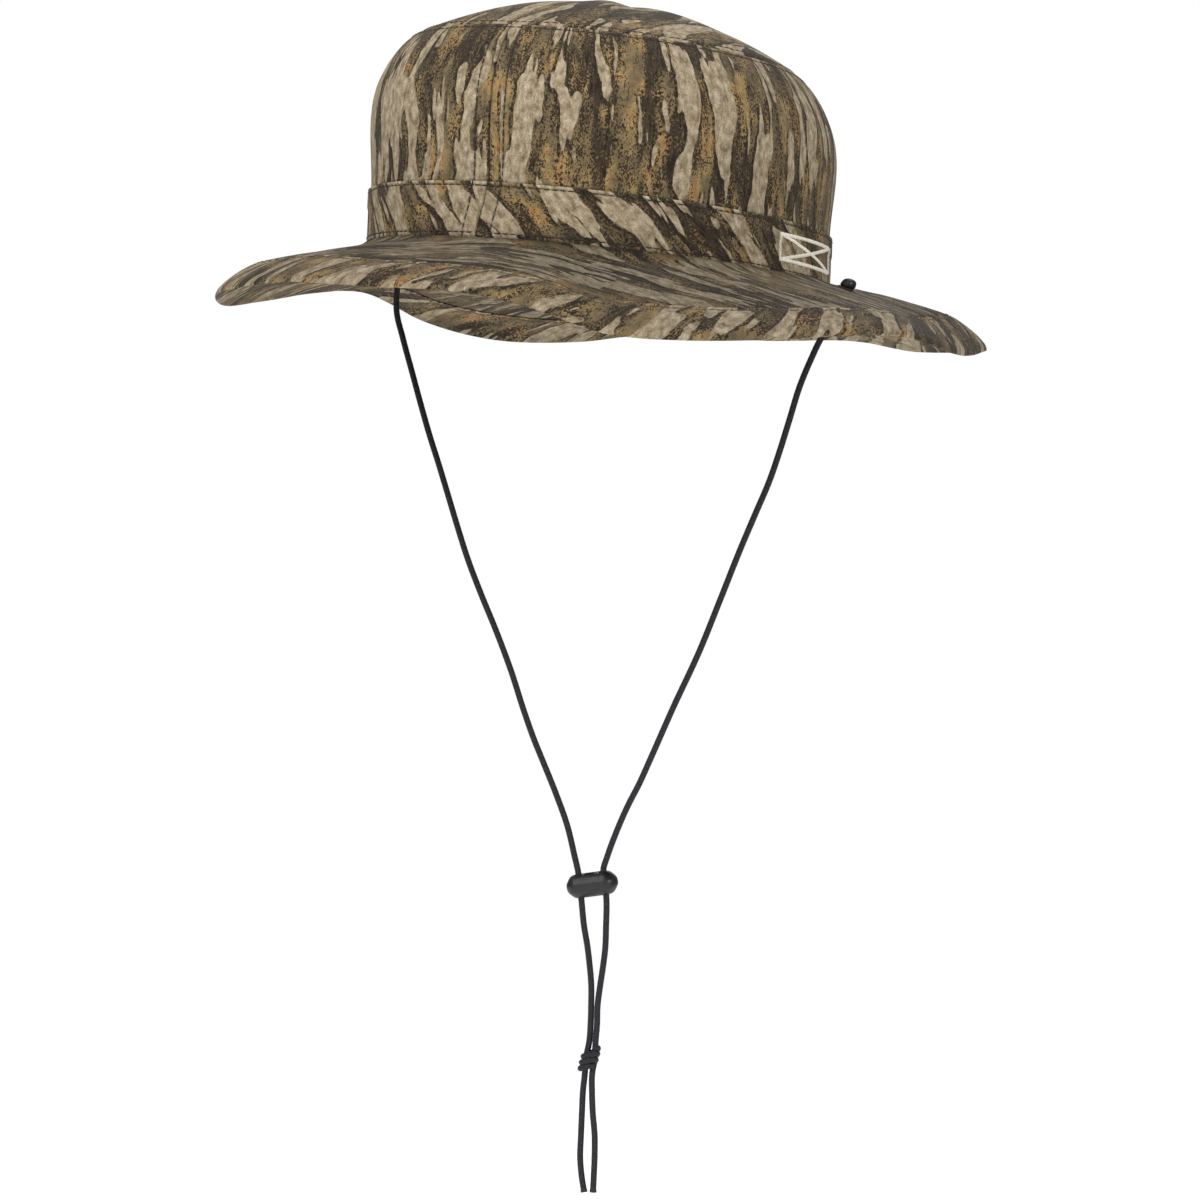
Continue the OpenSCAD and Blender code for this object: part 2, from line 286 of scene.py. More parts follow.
class Graph(Nodes):
    """One material's node tree, built from the pattern's coordinates to the Principled shader."""

    def __init__(self, name: str) -> None:
        """Starts a material with a Principled shader and its output."""
        self.material = bpy.data.materials.new(name)
        self.material.use_nodes = True
        super().__init__(self.material.node_tree)
        self.shader = self.node("ShaderNodeBsdfPrincipled", {})
        self.output = self.node("ShaderNodeOutputMaterial", {"Surface": self.shader.outputs["BSDF"]})

    def math(self, operation: str, a: object, b: object = 0.0, clamp: bool = False) -> Socket:
        """Adds a math node on one or two values, held between 0 and 1 where clamp is set."""
        return self.node("ShaderNodeMath", {0: a, 1: b}, operation=operation, use_clamp=clamp).outputs[0]

    def span(self, value: object, low: float, high: float, a: float = 0.0, b: float = 1.0) -> Socket:
        """Eases a value between low and high into the range from a to b."""
        inputs = {0: value, 1: low, 2: high, 3: a, 4: b}
        return self.node("ShaderNodeMapRange", inputs, interpolation_type="SMOOTHSTEP").outputs[0]

    def mix(self, share: object, a: object, b: object) -> Socket:
        """Mixes two colours."""
        return self.node("ShaderNodeMix", {0: share, 6: a, 7: b}, data_type="RGBA").outputs[2]

    def shade(self, colour: object, value: object, saturation: float = 1.0) -> Socket:
        """Multiplies a colour's brightness and its strength."""
        inputs = {"Value": value, "Color": colour, "Saturation": saturation}
        return self.node("ShaderNodeHueSaturation", inputs).outputs[0]

    def ramp(self, value: object, stops: list[tuple[float, Colour]]) -> Socket:
        """Turns a value into a colour.

        Args:
            value: the value, from 0 to 1.
            stops: rising places from 0 to 1, each with its colour.

        Returns:
            The colour.
        """
        made = self.node("ShaderNodeValToRGB", {0: value})
        points = made.color_ramp.elements
        while len(points) < len(stops):
            points.new(1.0)
        for point, (place, colour) in zip(points, stops):
            point.position = place
            point.color = (*colour, 1.0)
        return made.outputs[0]

    def noise(self, vector: object, size: tuple[float, float], seed: float, detail: float = 2.0,
              rough: float = 0.5, colour: bool = False) -> Socket:
        """Adds noise.

        Args:
            vector: coordinates in metres.
            size: width and height of its features.
            seed: the place in the noise.
            detail: how many finer octaves it adds.
            rough: how strong they are.
            colour: whether it gives a random vector in place of a value.

        Returns:
            The noise.
        """
        spread = {0: vector, 1: (1 / size[0], 1 / size[1], 1.0), 2: (0.0, 0.0, seed)}
        place = self.node("ShaderNodeVectorMath", spread, operation="MULTIPLY_ADD").outputs[0]
        inputs = {"Vector": place, "Scale": 1.0, "Detail": detail, "Roughness": rough}
        return self.node("ShaderNodeTexNoise", inputs).outputs[1 if colour else 0]

    def speckle(self, vector: object, size: float, detail: float) -> Socket:
        """Adds noise with features of one size in all three directions."""
        inputs = {"Vector": vector, "Scale": 1 / size, "Detail": detail}
        return self.node("ShaderNodeTexNoise", inputs).outputs[0]

    def nudge(self, vector: object, size: tuple[float, float], reach: float, seed: float,
              detail: float = 2.0) -> Socket:
        """Moves coordinates about by noise, so that a pattern's edges wander.

        Args:
            vector: coordinates in metres.
            size: width and height of the wandering.
            reach: how far it moves them, from end to end.
            seed: the place in the noise.
            detail: how many finer octaves it adds.

        Returns:
            The moved coordinates.
        """
        drift = self.noise(vector, size, seed, detail, colour=True)
        centred = self.node("ShaderNodeVectorMath", {0: drift, 1: (0.5, 0.5, 0.5)}, operation="SUBTRACT")
        inputs = {0: centred.outputs[0], 1: (reach, reach, 0.0), 2: vector}
        return self.node("ShaderNodeVectorMath", inputs, operation="MULTIPLY_ADD").outputs[0]

    def slide(self, vector: object, step: tuple[float, float]) -> Socket:
        """Shifts coordinates sideways and along."""
        return self.node("ShaderNodeVectorMath", {0: vector, 1: (*step, 0.0)}, operation="ADD").outputs[0]

    def cloth_map(self) -> Socket:
        """The piece's own cloth coordinates, in metres along and across the cut cloth."""
        return self.node("ShaderNodeUVMap", {}, uv_map="cloth").outputs[0]

    def place_map(self) -> Socket:
        """The part's own coordinates, in metres."""
        return self.node("ShaderNodeTexCoord", {}).outputs["Object"]

    def weave(self, vector: object, pitch: float) -> Socket:
        """Height of a plain weave, from two crossing sets of threads."""
        parts = self.node("ShaderNodeSeparateXYZ", {0: vector}).outputs
        warp = self.math("SINE", self.math("MULTIPLY", parts[0], TURN / pitch))
        weft = self.math("SINE", self.math("MULTIPLY", parts[1], TURN / pitch))
        return self.math("MULTIPLY", warp, weft)

    def bump(self, height: object, depth: float, strength: float = 1.0) -> None:
        """Gives the shader a relief of this depth."""
        made = self.node("ShaderNodeBump", {"Height": height, "Distance": depth, "Strength": strength})
        self.put(self.shader.inputs["Normal"], made.outputs[0])

    def surface(self, **sockets: object) -> Material:
        """Sets the shader's sockets, with _ for a space in a name, and returns the material."""
        for key, value in sockets.items():
            self.put(self.shader.inputs[key.replace("_", " ")], value)
        return self.material


@dataclass(frozen=True)
class BarkCloth:
    """Printed shell cloth: pale bark plates over dark furrows and speckled wood.

    Attributes:
        name: the material's name.
        seed: where in the print the piece is cut from.
        plates: how much of the cloth pale plates cover, from 0 to 1.
        plate: width and height of a pale plate.
        light: brightness of the whole print; below 1 it is a painted shade over the whole piece, as on the
            brim and its facing.
        strip: where the speckled wood has no plates, as the first and last distance round the hat.
    """

    name: str
    seed: float
    plates: float = 0.5
    plate: tuple[float, float] = (0.0085, 0.04)
    light: float = 1.0
    strip: tuple[float, float] | None = None

    def build(self) -> Material:
        """Builds the print with its painted shade and painted highlight, the brushed surface and the weave.
        """
        graph = Graph(self.name)
        cloth = graph.cloth_map()
        wander = graph.nudge(cloth, (0.02, 0.034), 0.007, self.seed + 3.1)
        ragged = graph.nudge(wander, (0.002, 0.0036), 0.0013, self.seed + 9.7, 3.0)
        colour = self._wood(graph, wander, ragged)
        mask, rim, plate = self._plates(graph, cloth, ragged)
        colour = graph.mix(rim, colour, srgb(44, 37, 29))
        colour = graph.mix(mask, colour, plate)
        # Painted shade and painted highlight: the marks that each piece carries darken its seams, creases and
        # stitch channels and lighten its folded edges.
        wear = graph.node("ShaderNodeAttribute", {}, attribute_name="wear").outputs["Fac"]
        light = graph.math("MULTIPLY", graph.math("ADD", wear, 1.0), self.light)
        colour = graph.shade(colour, light, 1.07)
        grain = graph.noise(cloth, (0.0006, 0.0006), self.seed)
        relief = graph.math("ADD", graph.math("MULTIPLY", graph.weave(cloth, 0.00052), 0.22), grain)
        graph.bump(relief, 0.00018, 0.6)
        rough = graph.span(grain, 0.3, 0.7, 0.8, 0.94)
        return graph.surface(Base_Color=colour, Roughness=rough, Sheen_Weight=0.06, Sheen_Roughness=0.5,
                             Specular_IOR_Level=0.18)

    def _wood(self, graph: Graph, wander: object, ragged: object) -> Socket:
        """Furrows and wood: warm patches in grey-brown, under dark speckle that gathers into long cracks.

        Args:
            graph: the material's graph.
            wander: cloth coordinates that wander slowly.
            ragged: cloth coordinates with ragged edges too.

        Returns:
            The colour between the plates.
        """
        patch = graph.noise(wander, (0.009, 0.017), self.seed + 51.0)
        stops = [(0.3, srgb(94, 84, 66)), (0.42, srgb(117, 103, 79)), (0.51, srgb(134, 116, 86)),
                 (0.59, srgb(160, 136, 97)), (0.68, srgb(164, 130, 92))]
        colour = graph.ramp(patch, stops)
        mottle = graph.noise(ragged, (0.0014, 0.0022), self.seed + 55.5, 2.0, 0.6)
        colour = graph.shade(colour, graph.span(mottle, 0.32, 0.68, 0.8, 1.18))
        furrow = graph.noise(wander, (0.0095, 0.05), self.seed + 21.3)
        crack = graph.noise(ragged, (0.0021, 0.0085), self.seed + 66.6, 3.0, 0.6)
        crowd = graph.math("ADD", graph.math("MULTIPLY", furrow, 1.4), graph.math("MULTIPLY", crack, 1.2))
        fleck = graph.noise(ragged, (0.00062, 0.00095), self.seed + 60.2, 2.0, 0.6)
        level = graph.math("ADD", graph.math("MULTIPLY", crowd, 0.66), graph.math("MULTIPLY", fleck, 1.2))
        speckle = graph.span(level, 1.435, 1.51)
        dark = graph.ramp(graph.noise(ragged, (0.001, 0.006), self.seed + 71.0),
                          [(0.35, srgb(40, 34, 27)), (0.65, srgb(74, 63, 50))])
        deep = graph.mix(graph.span(furrow, 0.5, 0.62, 0.0, 0.55), colour, srgb(78, 68, 54))
        return graph.mix(speckle, deep, dark)

    def _plates(self, graph: Graph, cloth: object, ragged: object) -> tuple[Socket, Socket, Socket]:
        """Pale plates, with a broken dark rim at one side of them.

        Args:
            graph: the material's graph.
            cloth: cloth coordinates.
            ragged: cloth coordinates with ragged edges.

        Returns:
            Where the plates lie, where their rim lies, and their colour.
        """
        low = 0.64 - 0.2 * self.plates
        here = self._cover(graph, cloth, ragged)
        beside = self._cover(graph, cloth, graph.slide(ragged, (0.0011, 0.0009)))
        mask = graph.span(here, low, low + 0.01)
        rim = graph.math("SUBTRACT", graph.span(beside, low - 0.022, low + 0.008), mask, clamp=True)
        crumb = graph.noise(ragged, (0.0009, 0.0022), self.seed + 88.0, 2.0, 0.6)
        rim = graph.math("MULTIPLY", rim, graph.span(crumb, 0.42, 0.58, 0.25, 1.0))
        tone = graph.noise(ragged, (0.0022, 0.0045), self.seed + 81.0, 4.0, 0.65)
        stops = [(0.3, srgb(108, 94, 75)), (0.43, srgb(148, 133, 109)), (0.54, srgb(176, 161, 136)),
                 (0.68, srgb(202, 189, 165))]
        colour = graph.ramp(tone, stops)
        grit = graph.noise(ragged, (0.0005, 0.0006), self.seed + 90.0, 2.0, 0.6)
        return mask, rim, graph.shade(colour, graph.span(grit, 0.3, 0.7, 0.76, 1.2))

    def _cover(self, graph: Graph, cloth: object, vector: object) -> Socket:
        """The field that the plates and slivers are cut from, lower where the strip keeps them off."""
        bark = graph.noise(vector, self.plate, self.seed + 77.7, 1.8, 0.42)
        sliver = graph.noise(vector, (0.0036, 0.03), self.seed + 95.0, 1.0, 0.4)
        bark = graph.math("MAXIMUM", bark, graph.math("SUBTRACT", sliver, 0.1))
        if not self.strip:
            return bark
        place = graph.node("ShaderNodeSeparateXYZ", {0: cloth}).outputs[0]
        start, end = self.strip
        fade = 12 * MM
        before, after = graph.span(place, start, start + fade), graph.span(place, end, end - fade)
        bare = graph.math("MULTIPLY", before, after)
        return graph.math("SUBTRACT", bark, graph.math("MULTIPLY", bare, 0.075))


@dataclass(frozen=True)
class PlainCloth:
    """Plain woven or knitted cloth, tape or label.

    Attributes:
        name: the material's name.
        colour: the cloth's colour.
        pitch: distance between its threads.
        depth: depth of the weave.
        fleck: how much its colour varies, as a share.
        sheen: strength of the soft sheen.
    """

    name: str
    colour: Colour
    pitch: float = 0.0006
    depth: float = 0.0001
    fleck: float = 0.2
    sheen: float = 0.2

    def build(self) -> Material:
        """Builds the cloth from its weave and a slight unevenness."""
        graph = Graph(self.name)
        cloth = graph.cloth_map()
        uneven = graph.noise(cloth, (0.003, 0.003), 2.0, 3.0)
        weave = graph.weave(cloth, self.pitch)
        tone = graph.math("ADD", uneven, graph.math("MULTIPLY", weave, 0.12))
        colour = graph.shade(self.colour, graph.span(tone, 0.25, 0.75, 1 - self.fleck, 1 + self.fleck))
        graph.bump(weave, self.depth, 0.6)
        return graph.surface(Base_Color=colour, Roughness=0.86, Sheen_Weight=self.sheen, Sheen_Roughness=0.4,
                             Specular_IOR_Level=0.25)


@dataclass(frozen=True)
class Thread:
    """Sewing or embroidery thread, twisted and slightly glossy.

    Attributes:
        name: the material's name.
        colour: the thread's colour.
        rough: how matt it is.
        twist: size of the light and dark of its twist.
    """

    name: str
    colour: Colour
    rough: float = 0.55
    twist: float = MM / 2.6

    def build(self) -> Material:
        """Builds the thread from its colour and a fine twist."""
        graph = Graph(self.name)
        place = graph.place_map()
        twist = graph.speckle(place, self.twist, 2.0)
        colour = graph.shade(self.colour, graph.span(twist, 0.3, 0.7, 0.75, 1.25))
        graph.bump(twist, 0.00008, 0.6)
        return graph.surface(Base_Color=colour, Roughness=self.rough, Sheen_Weight=0.2,
                             Specular_IOR_Level=0.35)


@dataclass(frozen=True)
class BraidedCord:
    """Black braided cord: fine filaments along each strand of the braid, with a painted highlight on the
    raised strands and painted shade in the valleys between them.

    Attributes:
        name: the material's name.
        colour: the cord's colour.
        wear_and_highlight: colour of the painted highlight on the raised strands, laid in fibre flecks.
    """

    name: str
    colour: Colour
    wear_and_highlight: Colour

    def build(self) -> Material:
        """Builds the cord from filaments, the relief that its mesh carries and the painted highlight on that
        relief.
        """
        graph = Graph(self.name)
        cord = graph.cloth_map()
        height = graph.node("ShaderNodeAttribute", {}, attribute_name="braid").outputs["Fac"]
        fibre = graph.noise(cord, (0.00012, 0.0011), 4.0, 3.0, 0.6)
        # Painted highlight: raised strands are painted towards the lighter colour in fibre flecks; the
        # valleys keep the dark colour as painted shade.
        blend = graph.math("MULTIPLY", graph.span(height, 0.35, 1.0), graph.span(fibre, 0.35, 0.7))
        colour = graph.mix(blend, self.colour, self.wear_and_highlight)
        graph.bump(fibre, 0.00006, 0.7)
        rough = graph.span(fibre, 0.3, 0.7, 0.55, 0.75)
        return graph.surface(Base_Color=colour, Roughness=rough, Sheen_Weight=0.04, Specular_IOR_Level=0.25)


@dataclass(frozen=True)
class Moulded:
    """Moulded or metal hardware with a fine texture and wear on its high places.

    Attributes:
        name: the material's name.
        colour: the material's colour.
        wear_and_highlight: colour of the patches of wear on plastic and of tarnish on metal.
        rough: how matt it is.
        metal: 1 on metal, 0 on plastic.
        grain: size of the surface texture.
        depth: depth of the surface texture.
        patch: size of the worn patches.
    """

    name: str
    colour: Colour
    wear_and_highlight: Colour
    rough: float
    metal: float = 0.0
    grain: float = 0.5 * MM
    depth: float = 0.02 * MM
    patch: float = MM / 0.26

    def build(self) -> Material:
        """Builds the surface from patches, a fine texture and its gloss."""
        graph = Graph(self.name)
        place = graph.place_map()
        fine = graph.speckle(place, self.grain, 3.0)
        patch = graph.speckle(place, self.patch, 4.0)
        colour = graph.mix(graph.span(patch, 0.45, 0.72), self.colour, self.wear_and_highlight)
        graph.bump(fine, self.depth, 0.8)
        rough = graph.span(patch, 0.3, 0.7, self.rough - 0.06, self.rough + 0.1)
        return graph.surface(Base_Color=colour, Roughness=rough, Metallic=self.metal)


def made_from(recipe: BarkCloth | PlainCloth | Thread | BraidedCord | Moulded) -> Material:
    """A dataclass field that holds the material built from a finish."""
    return field(default_factory=recipe.build)


@dataclass(frozen=True)
class Finishes:
    """Every finish on the hat, each built once and shared by its pieces."""

    crown: Material = made_from(BarkCloth("bark_crown", 2.0, 0.5, (0.0076, 0.037), strip=(0.022, 0.075)))
    band: Material = made_from(BarkCloth("bark_band", 13.0, 0.56, (0.007, 0.034)))
    # The brim's and the facing's copies of the print are darkened by their light share, a painted shade.
    brim: Material = made_from(BarkCloth("bark_brim", 31.0, 0.44, (0.0046, 0.024), 0.56))
    facing: Material = made_from(BarkCloth("bark_facing", 52.0, 0.5, (0.0066, 0.032), 0.78))
    canvas: Material = made_from(PlainCloth("stiff_canvas", srgb(214, 208, 192), 0.0009))
    sweatband: Material = made_from(PlainCloth("wicking_knit", srgb(38, 38, 34), 0.0011, 0.0002, 0.25))
    lining: Material = made_from(PlainCloth("lining_cloth", srgb(66, 62, 48), 0.0007))
    tape: Material = made_from(PlainCloth("twill_tape", srgb(86, 80, 62), 0.0008, 0.00015))
    label: Material = made_from(PlainCloth("satin_label", srgb(226, 221, 206), 0.0003, 0.00005, 0.08, 0.4))
    seam_thread: Material = made_from(Thread("seam_thread", srgb(46, 37, 28)))
    edge_thread: Material = made_from(Thread("edge_thread", srgb(92, 80, 62)))
    dark_thread: Material = made_from(Thread("sweatband_thread", srgb(30, 30, 28)))
    tack_thread: Material = made_from(Thread("tack_thread", srgb(252, 246, 232), 0.45))
    cord: Material = made_from(BraidedCord("braided_cord", srgb(11, 11, 13), srgb(76, 76, 84)))
    seal: Material = made_from(Moulded("sealed_cord_end", srgb(20, 20, 22), srgb(34, 33, 34), 0.42))
    plastic: Material = made_from(Moulded("lock_plastic", srgb(20, 20, 22), srgb(29, 29, 31), 0.37))
    brass: Material = made_from(Moulded("dark_brass", srgb(104, 88, 58), srgb(60, 50, 38), 0.4, 1.0))


# --- Meshes ---


def placed(name: str, data: bpy.types.ID) -> Object:
    """Puts a mesh, light or camera into the scene as a new object."""
    piece = bpy.data.objects.new(name, data)
    bpy.context.scene.collection.objects.link(piece)
    return piece


def baked(guide: Object) -> bpy.types.Mesh:
    """Applies an object's modifiers to a new plain mesh, and deletes the object."""
    graph = bpy.context.evaluated_depsgraph_get()
    mesh = bpy.data.meshes.new_from_object(guide.evaluated_get(graph))
    bpy.data.objects.remove(guide)
    return mesh


def quads(rows: int, size: int, down: int, over: int,
          cloth: np.ndarray) -> tuple[list[list[int]], list[np.ndarray]]:
    """Covers a grid of points with four-cornered faces, which wrap round where the grid closes.

    Args:
        rows: rows of points in the grid.
        size: points in each row.
        down: rows of faces.
        over: faces in each row.
        cloth: grid of cloth coordinates.

    Returns:
        The faces, and a list that holds their corners' cloth coordinates.
    """
    i, j = np.meshgrid(np.arange(down), np.arange(over), indexing="ij")
    corner = [(i, j), (i + 1, j), (i + 1, j + 1), (i, j + 1)]
    faces = np.stack([(a % rows) * size + b % size for a, b in corner], axis=-1).reshape(-1, 4).tolist()
    laid = [cloth[a % cloth.shape[0], b % cloth.shape[1]] for a, b in corner]
    return faces, [np.stack(laid, axis=2).reshape(-1, 2)]


def make_mesh(name: str, points: np.ndarray, faces: list[list[int]], cloth: np.ndarray | None = None,
              **marks: np.ndarray) -> Object:
    """Makes a closed mesh whose faces point outwards.

    Args:
        name: the piece's name.
        points: rows of x, y and z.
        faces: corners of each face, all turning the same way.
        cloth: cloth coordinates at each corner of each face, in the faces' order.
        marks: values at each point that the finish reads, by name.

    Returns:
        The new object, at the origin.
    """
    first, second, third = (points[[face[i] for face in faces]] for i in range(3))
    volume = np.einsum("ij,ij->i", first, np.cross(second, third)).sum()
    last = points[[face[-1] for face in faces]]
    volume += np.einsum("ij,ij->i", first, np.cross(third, last)).sum()
    if volume < 0:
        faces = [face[::-1] for face in faces]
        if cloth is not None:
            sizes = np.array([len(face) for face in faces])
            ends = np.cumsum(sizes)
            order = np.concatenate([np.arange(end - 1, end - size - 1, -1) for end, size in zip(ends, sizes)])
            cloth = cloth[order]
    mesh = bpy.data.meshes.new(name)
    mesh.from_pydata(points.tolist(), [], faces)
    mesh.polygons.foreach_set("use_smooth", np.ones(len(faces), bool))
    if cloth is not None:
        mesh.uv_layers.new(name="cloth").data.foreach_set("uv", cloth.astype(np.float32).ravel())
    for mark, values in marks.items():
        layer = mesh.attributes.new(mark, "FLOAT", "POINT")
        layer.data.foreach_set("value", values.astype(np.float32).ravel())
    mesh.update()
    return placed(name, mesh)


def settle(piece: Object, material: Material, slot: str | None, *nodes: str,
           body: str | None = "root") -> Object:
    """Dresses a finished piece and ties it to the part.

    Args:
        piece: the finished mesh object.
        material: its finish.
        slot: the record's material slot, or None; not used.
        nodes: the part's nodes that it stands for.
        body: the body it rides on, or None for a piece that hangs between two and is tied to neither.

    Returns:
        The piece.
    """
    piece.data.materials.clear()
    piece.data.materials.append(material)
    if body:
        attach(piece, body)
    if nodes:
        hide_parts(*nodes)
    log.info("%s: %d faces", piece.name, len(piece.data.polygons))
    return piece


def sheet_of_cloth(name: str, face: np.ndarray, thick: float, cloth: np.ndarray, closed: bool,
                   behind: float = 1.0, wear: np.ndarray | float = 0.0) -> Object:
    """Makes cloth with a face, a back and rounded folds along its two long edges.

    Args:
        name: the piece's name.
        face: grid of points on the outer face, round the hat and then across the cloth.
        thick: thickness of the cloth.
        cloth: cloth coordinates of the grid, with one more row round the hat where it is closed.
        closed: whether the cloth goes right round the hat.
        behind: 1 where the back lies on the hat's side of the face, and -1 on the other side.
        wear: painted shade (below 0) and painted highlight (above 0) on the face at each point of the grid,
            as a share.

    Returns:
        The cloth's object.
    """
    rows, width = face.shape[:2]
    if closed:
        along = np.roll(face, -1, axis=0) - np.roll(face, 1, axis=0)
    else:
        along = np.gradient(face, axis=0)
    across = np.gradient(face, axis=1)
    normal = unit(np.cross(along, across)) * behind
    back = face - thick * normal
    ends = []
    for j, way in ((width - 1, 1), (0, -1)):
        middle = (face[:, j] + back[:, j]) / 2
        out = unit(across[:, j]) * way
        turns = [math.radians(t) for t in (45, 90, 135)][::way]
        ends.append(np.stack([middle + thick / 2 * (math.cos(t) * normal[:, j] + math.sin(t) * out)
                              for t in turns], axis=1))
    section = np.concatenate([face, ends[0], back[:, ::-1], ends[1]], axis=1)
    size = section.shape[1]
    fold = [np.repeat(cloth[:, -1:], 3, axis=1), np.repeat(cloth[:, :1], 3, axis=1)]
    maps = np.concatenate([cloth, fold[0], cloth[:, ::-1], fold[1]], axis=1)
    faces, loops = quads(rows, size, rows if closed else rows - 1, size, maps)
    if not closed:
        inner = [width + 3 + (width - 1 - j) for j in range(width)]
        rungs = [[j, j + 1, inner[j + 1], inner[j]] for j in range(width - 1)]
        rungs.append([width - 1, width, width + 1, width + 2, width + 3])
        rungs.append([size - 4, size - 3, size - 2, size - 1, 0])
        for row, way in ((0, 1), (rows - 1, -1)):
            for rung in rungs:
                order = rung[::way]
                faces.append([row * size + k for k in order])
                loops.append(maps[row, order])
    marks = np.zeros(section.shape[:2])
    # Only the face carries the painted shade and painted highlight; the back and folds are left plain.
    marks[:, :width] = wear
    return make_mesh(name, section.reshape(-1, 3), faces, np.concatenate(loops), wear=marks)


def dome_of_cloth(name: str, face: np.ndarray, thick: float, cloth: np.ndarray) -> Object:
    """Makes a domed piece of cloth, closed at its middle.

    Args:
        name: the piece's name.
        face: grid of points on the upper face, round the hat and then from the edge to the middle point.
        thick: thickness of the cloth.
        cloth: cloth coordinates of the grid.

    Returns:
        The cloth's object.
    """
    rows, width = face.shape[:2]
    lower = face - np.array([0, 0, thick])
    rim = (face[:, :1] + lower[:, :1]) / 2 + unit(face[:, :1] - face[:, 1:2]) * thick / 2
    section = np.concatenate([face[:, :-1][:, ::-1], rim, lower[:, :-1]], axis=1)
    maps = np.concatenate([cloth[:, :-1][:, ::-1], cloth[:, :1], cloth[:, :-1]], axis=1)
    size = section.shape[1]
    faces, loops = quads(rows, size, rows, size - 1, maps)
    top, low = rows * size, rows * size + 1
    for k in range(rows):
        after = (k + 1) % rows
        faces.append([top, after * size, k * size])
        faces.append([low, k * size + size - 1, after * size + size - 1])
        loops.append(np.stack([cloth[k, -1], maps[after, 0], maps[k, 0]]))
        loops.append(np.stack([cloth[k, -1], maps[k, -1], maps[after, -1]]))
    points = np.concatenate([section.reshape(-1, 3), face[:1, -1], lower[:1, -1]])
    return make_mesh(name, points, faces, np.concatenate(loops))


def turned(name: str, outline: Route, seat: Matrix, sides: int = 40) -> Object:
    """Turns a closed outline round an axis, into a ring or a solid.

    Args:
        name: the piece's name.
        outline: radius and height of each point of the outline.
        seat: the axis, along the seat's own Z.
        sides: points in each ring.

    Returns:
        The turned object.
    """
    rings = np.array(outline)
    angles = (np.arange(sides) / sides * TURN)[:, None]
    radius, height = rings[None, :, 0], rings[None, :, 1]
    points = np.stack(np.broadcast_arrays(radius * np.cos(angles), radius * np.sin(angles), height), axis=-1)
    size = len(rings)
    faces, _ = quads(sides, size, sides, size, np.zeros((sides, size, 2)))
    points = points.reshape(-1, 3) @ np.array(seat.to_3x3()).T + np.array(seat.translation)
    return make_mesh(name, points, faces)


def rolled(outline: Route, rounds: int = 2) -> Route:
    """Rounds a closed outline by cutting its corners a few times."""
    points = np.array(outline)
    for _ in range(rounds):
        after = np.roll(points, -1, axis=0)
        points = np.stack([0.75 * points + 0.25 * after, 0.25 * points + 0.75 * after], axis=1).reshape(-1, 2)
    return [tuple(point) for point in points]


def profile(shape: Route, radius: float, tall: float, base: float = 0.0) -> Route:
    """Sizes an outline of radius and height shares, keeping its ends just off the axis."""
    return [(max(0.001 * MM, out * radius), base + up * tall) for out, up in shape]


@dataclass(frozen=True)
class Braid:
    """A round braided cord.

    Attributes:
        width: the cord's diameter.
        gap: distance between the rings of its mesh.
        sides: points in each ring.
        strands: strands that show round the cord.
        lay: length along the cord of one full wave of the braid.
        relief: depth of the braid, as a share of the radius.
    """

    width: float
    gap: float = 0.36 * MM
    sides: int = 32
    strands: int = 8
    lay: float = 2.6 * MM
    relief: float = 0.2

    def tube(self, name: str, path: np.ndarray) -> Object:
        """Makes the cord's mesh along a path, with round tips.

        Args:
            name: the piece's name.
            path: points that the cord's middle follows, evenly spaced.

        Returns:
            The cord's object.
        """
        ahead = unit(np.gradient(path, axis=0))
        side = np.zeros_like(path)
        side[0] = unit(np.cross(ahead[0], [0.31, 0.17, 0.93]))
        for i in range(1, len(path)):
            carried = side[i - 1] - ahead[i] * (side[i - 1] @ ahead[i])
            side[i] = carried / np.linalg.norm(carried)
        up = np.cross(ahead, side)
        run = np.concatenate([[0], np.cumsum(np.linalg.norm(np.diff(path, axis=0), axis=1))])
        radius = np.full(len(path), self.width / 2)
        for depth in (run, run[-1] - run):
            near = np.clip(depth / (self.width / 2), 0, 1)
            radius *= np.sqrt(np.clip(1 - (1 - near) ** 2, 0.02, 1))
        angle = np.arange(self.sides) / self.sides * TURN
        one = self.strands / 2 * angle[None, :] + TURN / self.lay * run[:, None]
        two = self.strands / 2 * angle[None, :] - TURN / self.lay * run[:, None]
        over = 0.5 + 0.5 * np.clip(3 * np.sin(one) * np.sin(two), -1, 1)
        height = over * np.abs(np.sin(one)) ** 0.6 + (1 - over) * np.abs(np.sin(two)) ** 0.6
        reach = radius[:, None] * (1 - self.relief * (1 - height))
        ring = np.cos(angle)[None, :, None] * side[:, None] + np.sin(angle)[None, :, None] * up[:, None]
        points = path[:, None] + reach[..., None] * ring
        rows, size = points.shape[:2]
        around = np.linspace(0, math.pi * self.width, size + 1)
        maps = np.stack(np.broadcast_arrays(around[None, :], run[:, None]), axis=-1)
        faces, loops = quads(rows, size, rows - 1, size, maps)
        first, last = rows * size, rows * size + 1
        for k in range(size):
            faces.append([first, k, (k + 1) % size])
            faces.append([last, (rows - 1) * size + (k + 1) % size, (rows - 1) * size + k])
            loops.append(np.stack([maps[0, k], maps[0, k], maps[0, k + 1]]))
            loops.append(np.stack([maps[-1, k], maps[-1, k + 1], maps[-1, k]]))
        points = np.concatenate([points.reshape(-1, 3), path[:1], path[-1:]])
        heights = np.concatenate([height.ravel(), [0.5, 0.5]])
        return make_mesh(name, points, faces, np.concatenate(loops), braid=heights)


# --- Stitching ---


@dataclass(frozen=True)
class Row:
    """One row of stitching.

    Attributes:
        points: the line that it follows, on the cloth.
        closed: whether it meets itself.
    """

    points: np.ndarray
    closed: bool = False


